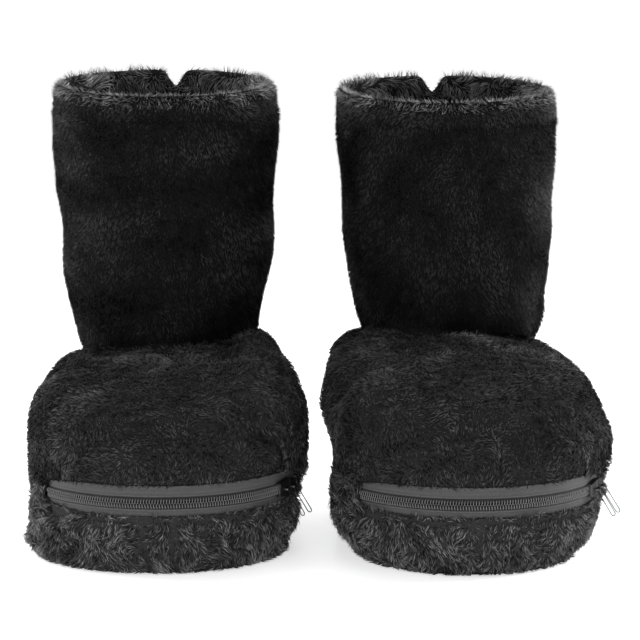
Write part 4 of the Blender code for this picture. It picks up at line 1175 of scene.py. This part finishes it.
def band_length(side, points):
    return ((long_at_zip_end(points) - SHORT_IN_SEAMS * in_seams(side, points))
            * (1.0 - SHORT_AT_PULLS * under_pulls(points)))


def short_at_notch(side, points):
    """Pile is short round the notch at the back of the collar, so that the notch stays open."""
    behind = (points[:, 1] > SHAFT_AXIS).astype(float)
    middle = math.sin(math.radians(NOTCH_TURN[side])) * NOTCH_RADIUS
    aside = np.abs(points[:, 0] - middle)
    return 1.0 - SHORT_AT_NOTCH * behind * smooth_step(aside, NOTCH_CLEAR, NOTCH_CLEAR / 2)


def full_at_back(side, points):
    """The rim's pile is longest at the back, where it stands up on both sides of the notch."""
    behind = smooth_step(points[:, 1], SHAFT_AXIS - 0.02, SHAFT_AXIS + 0.05)
    return (1.0 + LONG_AT_BACK * behind) * short_at_notch(side, points)


# Each pile's name and carrier, its kind, material and slot, where it grows, how it lies, its seed,
# what changes its length and what paints light and shade into its tone
GROWN = (
    ("shaft_pile", "shaft_plush", "shaft", "shaft_pile", "outer_plush",
     outwards("shaft_plush"), downwards, 1, None, None),
    ("foot_pile", "vamp_plush", "foot", "foot_pile", "outer_plush",
     outwards("vamp_plush"), over_the_upper, 2, foot_length, painted_light_at_folds),
    ("band_pile", "sole_wall", "band", "band_pile", "outer_plush",
     outwards("sole_wall"), down_from_the_zip, 3, band_length, painted_shade_at_seams),
    ("rim_face_pile", "collar", "shaft", "shaft_pile", "outer_plush",
     on_rim_face, downwards, 6, short_at_notch, painted_light_at_rim),
    ("rim_pile", "collar", "rim", "rim_pile", "outer_plush",
     on_rim_top, over_the_rim, 4, full_at_back, None),
    ("shaft_lining_pile", "shaft_lining", "lining", "lining_pile", "lining_plush",
     near_the_mouth, upwards, 5, short_at_notch, None),
)
carriers = {**walls, **linings}
for number, side in enumerate(SIDES, 1):
    for name, node, kind, material, slot, share_of, combing, seed, length_of, painted_light_of in GROWN:
        grow(side, name, carriers[side, node], kind, material, share_of, combing,
             100 * number + seed, length_of, painted_light_of)

# %% [markdown]
# ## The zip
# Each tape is a long grid laid round the toe and given its thickness. The weave is in its material.
# A coil zip has no separate teeth: each row is one nylon thread wound in flat turns, and the turns
# of the two rows lie between each other. One turn is drawn as a bent thread and copied along the
# row, and the rows part between the two sliders, as the model's do.

# %% Zip
TAPE_STEPS = 150
TAPE_ROWS = 12
TAPE_WAVE = 0.00018
# One turn of the coil, as points away from the zip's middle and out of the tape
TURN_PATH = ((0.0027, 0.0002), (0.0029, 0.0009), (0.0025, 0.0016), (0.0013, 0.0018),
             (0.0003, 0.0015), (-0.0001, 0.0008))
TURN_RADIUS = 0.00030
TURN_PITCH = 0.0019
TURN_SLANT = 0.0006
ROW_SPREAD = 0.0014
SLIDER_REACH = 4.0


def arc_of(side, node):
    """Lowest and highest angle, radius and height of a node that follows the toe's arc."""
    flat = np.empty(len(frame["nodes"][f"{side}_{node}"].data.vertices) * 3)
    frame["nodes"][f"{side}_{node}"].data.vertices.foreach_get("co", flat)
    points = into(side, flat.reshape(-1, 3))
    angles, radii = toe_angle(points), np.hypot(points[:, 0], points[:, 1])
    return [(values.min(), values.max()) for values in (angles, radii, points[:, 2])]


def on_arc(angles, radii, heights):
    turn = np.radians(angles)
    return np.stack([np.sin(turn) * radii, -np.cos(turn) * radii, heights], axis=-1)


def make_tape(side, node):
    angles, radii, heights = arc_of(side, node)
    bpy.ops.mesh.primitive_grid_add(x_subdivisions=TAPE_STEPS, y_subdivisions=TAPE_ROWS, size=1.0,
                                    calc_uvs=True, location=(0.0, 0.0, 0.0))
    tape = bpy.context.active_object
    tape.name = f"{side}_{node}_woven"
    grid = points_of(tape)
    across, up = grid[:, 0] + 0.5, grid[:, 1] + 0.5
    around = angles[0] + across * (angles[1] - angles[0])
    level = heights[0] + up * (heights[1] - heights[0])
    points = on_arc(around, np.full(len(grid), sum(radii) / 2), level)
    points += unit(points * (1.0, 1.0, 0.0)) * (TAPE_WAVE * ripple(points, 0.02, 3))[:, None]
    set_points(tape, out_of(side, points))
    layout = tape.data.uv_layers.active
    layout.name = UV_NAME
    grid = np.empty(len(layout.data) * 2)
    layout.data.foreach_get("uv", grid)
    if node == "lower_tape":
        grid[1::2] = 1.0 - grid[1::2]
    layout.data.foreach_set("uv", grid)
    thickness = tape.modifiers.new("thickness", "SOLIDIFY")
    thickness.thickness = (radii[1] - radii[0]) * 0.8
    thickness.offset = 0.0
    apply_modifier(tape, thickness)
    face_out(tape)
    wear(tape, "tape")
    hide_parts(f"{side}_{node}")


def coil_turn():
    """One turn of the coil as a mesh: along the row, away from the middle, out of the tape."""
    curve = bpy.data.curves.new("turn", "CURVE")
    curve.dimensions = "3D"
    curve.bevel_depth = TURN_RADIUS
    curve.bevel_resolution = 0
    curve.use_fill_caps = True
    thread = curve.splines.new("POLY")
    thread.points.add(len(TURN_PATH) - 1)
    for index, (aside, out) in enumerate(TURN_PATH):
        along = TURN_SLANT * (0.5 - index / (len(TURN_PATH) - 1))
        thread.points[index].co = (along, aside, out, 1.0)
    pick(add_object("turn", curve))
    bpy.ops.object.convert(target="MESH")
    turn = bpy.context.active_object
    points = points_of(turn)
    faces = [tuple(face.vertices) for face in turn.data.polygons]
    bpy.data.objects.remove(turn)
    return points, faces


def slider_angle(side, letter):
    low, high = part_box(f"{side}_slider_{letter}")
    return float(toe_angle(into(side, np.array([(low + high) / 2])))[0])


def row_spread(side, angles):
    """How far the rows stand apart at each angle: they part between the two sliders' posts."""
    start = slider_angle(side, "a") - SLIDER_REACH / 2
    end = slider_angle(side, "b") + SLIDER_REACH / 2
    inside = np.minimum(angles - start, end - angles) / SLIDER_REACH
    return ROW_SPREAD * smooth_step(inside, 0.0, 1.0)


def make_coil(side, node, way, turn):
    angles, radii, _ = arc_of(side, node)
    shape, faces = turn
    pitch = math.degrees(TURN_PITCH / radii[1])
    shift = 0.0 if way > 0 else pitch / 2
    middles = np.arange(angles[0] + pitch + shift, angles[1] - pitch / 2, pitch)
    spread = row_spread(side, middles)
    around = middles[:, None] + np.degrees(shape[:, 0] / radii[1])
    level = ZIP_HEIGHT + way * (shape[:, 1] + spread[:, None])
    points = on_arc(around, radii[0] + np.broadcast_to(shape[:, 2], around.shape), level)
    mesh = bpy.data.meshes.new(f"{side}_{node}_coil")
    stride = len(shape)
    mesh.from_pydata(out_of(side, points.reshape(-1, 3)).tolist(), [],
                     [[corner + stride * copy for corner in face]
                      for copy in range(len(middles)) for face in faces])
    coil = add_object(mesh.name, mesh)
    face_out(coil)
    wear(coil, "coil")
    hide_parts(f"{side}_{node}")
    print(f"{side} {node}: {len(middles)} turns")


TURN = coil_turn()
for side in SIDES:
    for node in ("lower_tape", "upper_tape"):
        make_tape(side, node)
    make_coil(side, "upper_teeth", 1.0, TURN)
    make_coil(side, "lower_teeth", -1.0, TURN)

# %% [markdown]
# ## The nodes that stay
# Hard pieces keep the model's shapes and get their finishes: plated metal, moulded plastic and
# silicone.

# %% Hard pieces
KEPT = {
    "heating_wire": "sleeve", "thermal_cutout": "plastic", "lead_one": "sleeve",
    "lead_two": "sleeve", "dc_socket": "plastic", "socket_nut": "metal", "far_stop": "metal",
    "near_stop": "metal", "slider_a": "slider_metal", "slider_b": "slider_metal",
    "pull_a": "metal", "pull_b": "metal",
}
for side in SIDES:
    for node, material in KEPT.items():
        for entry in frame["nodes"][f"{side}_{node}"].material_slots:
            entry.material = MATERIALS[material]
print(len(KEPT) * 2, "nodes kept")
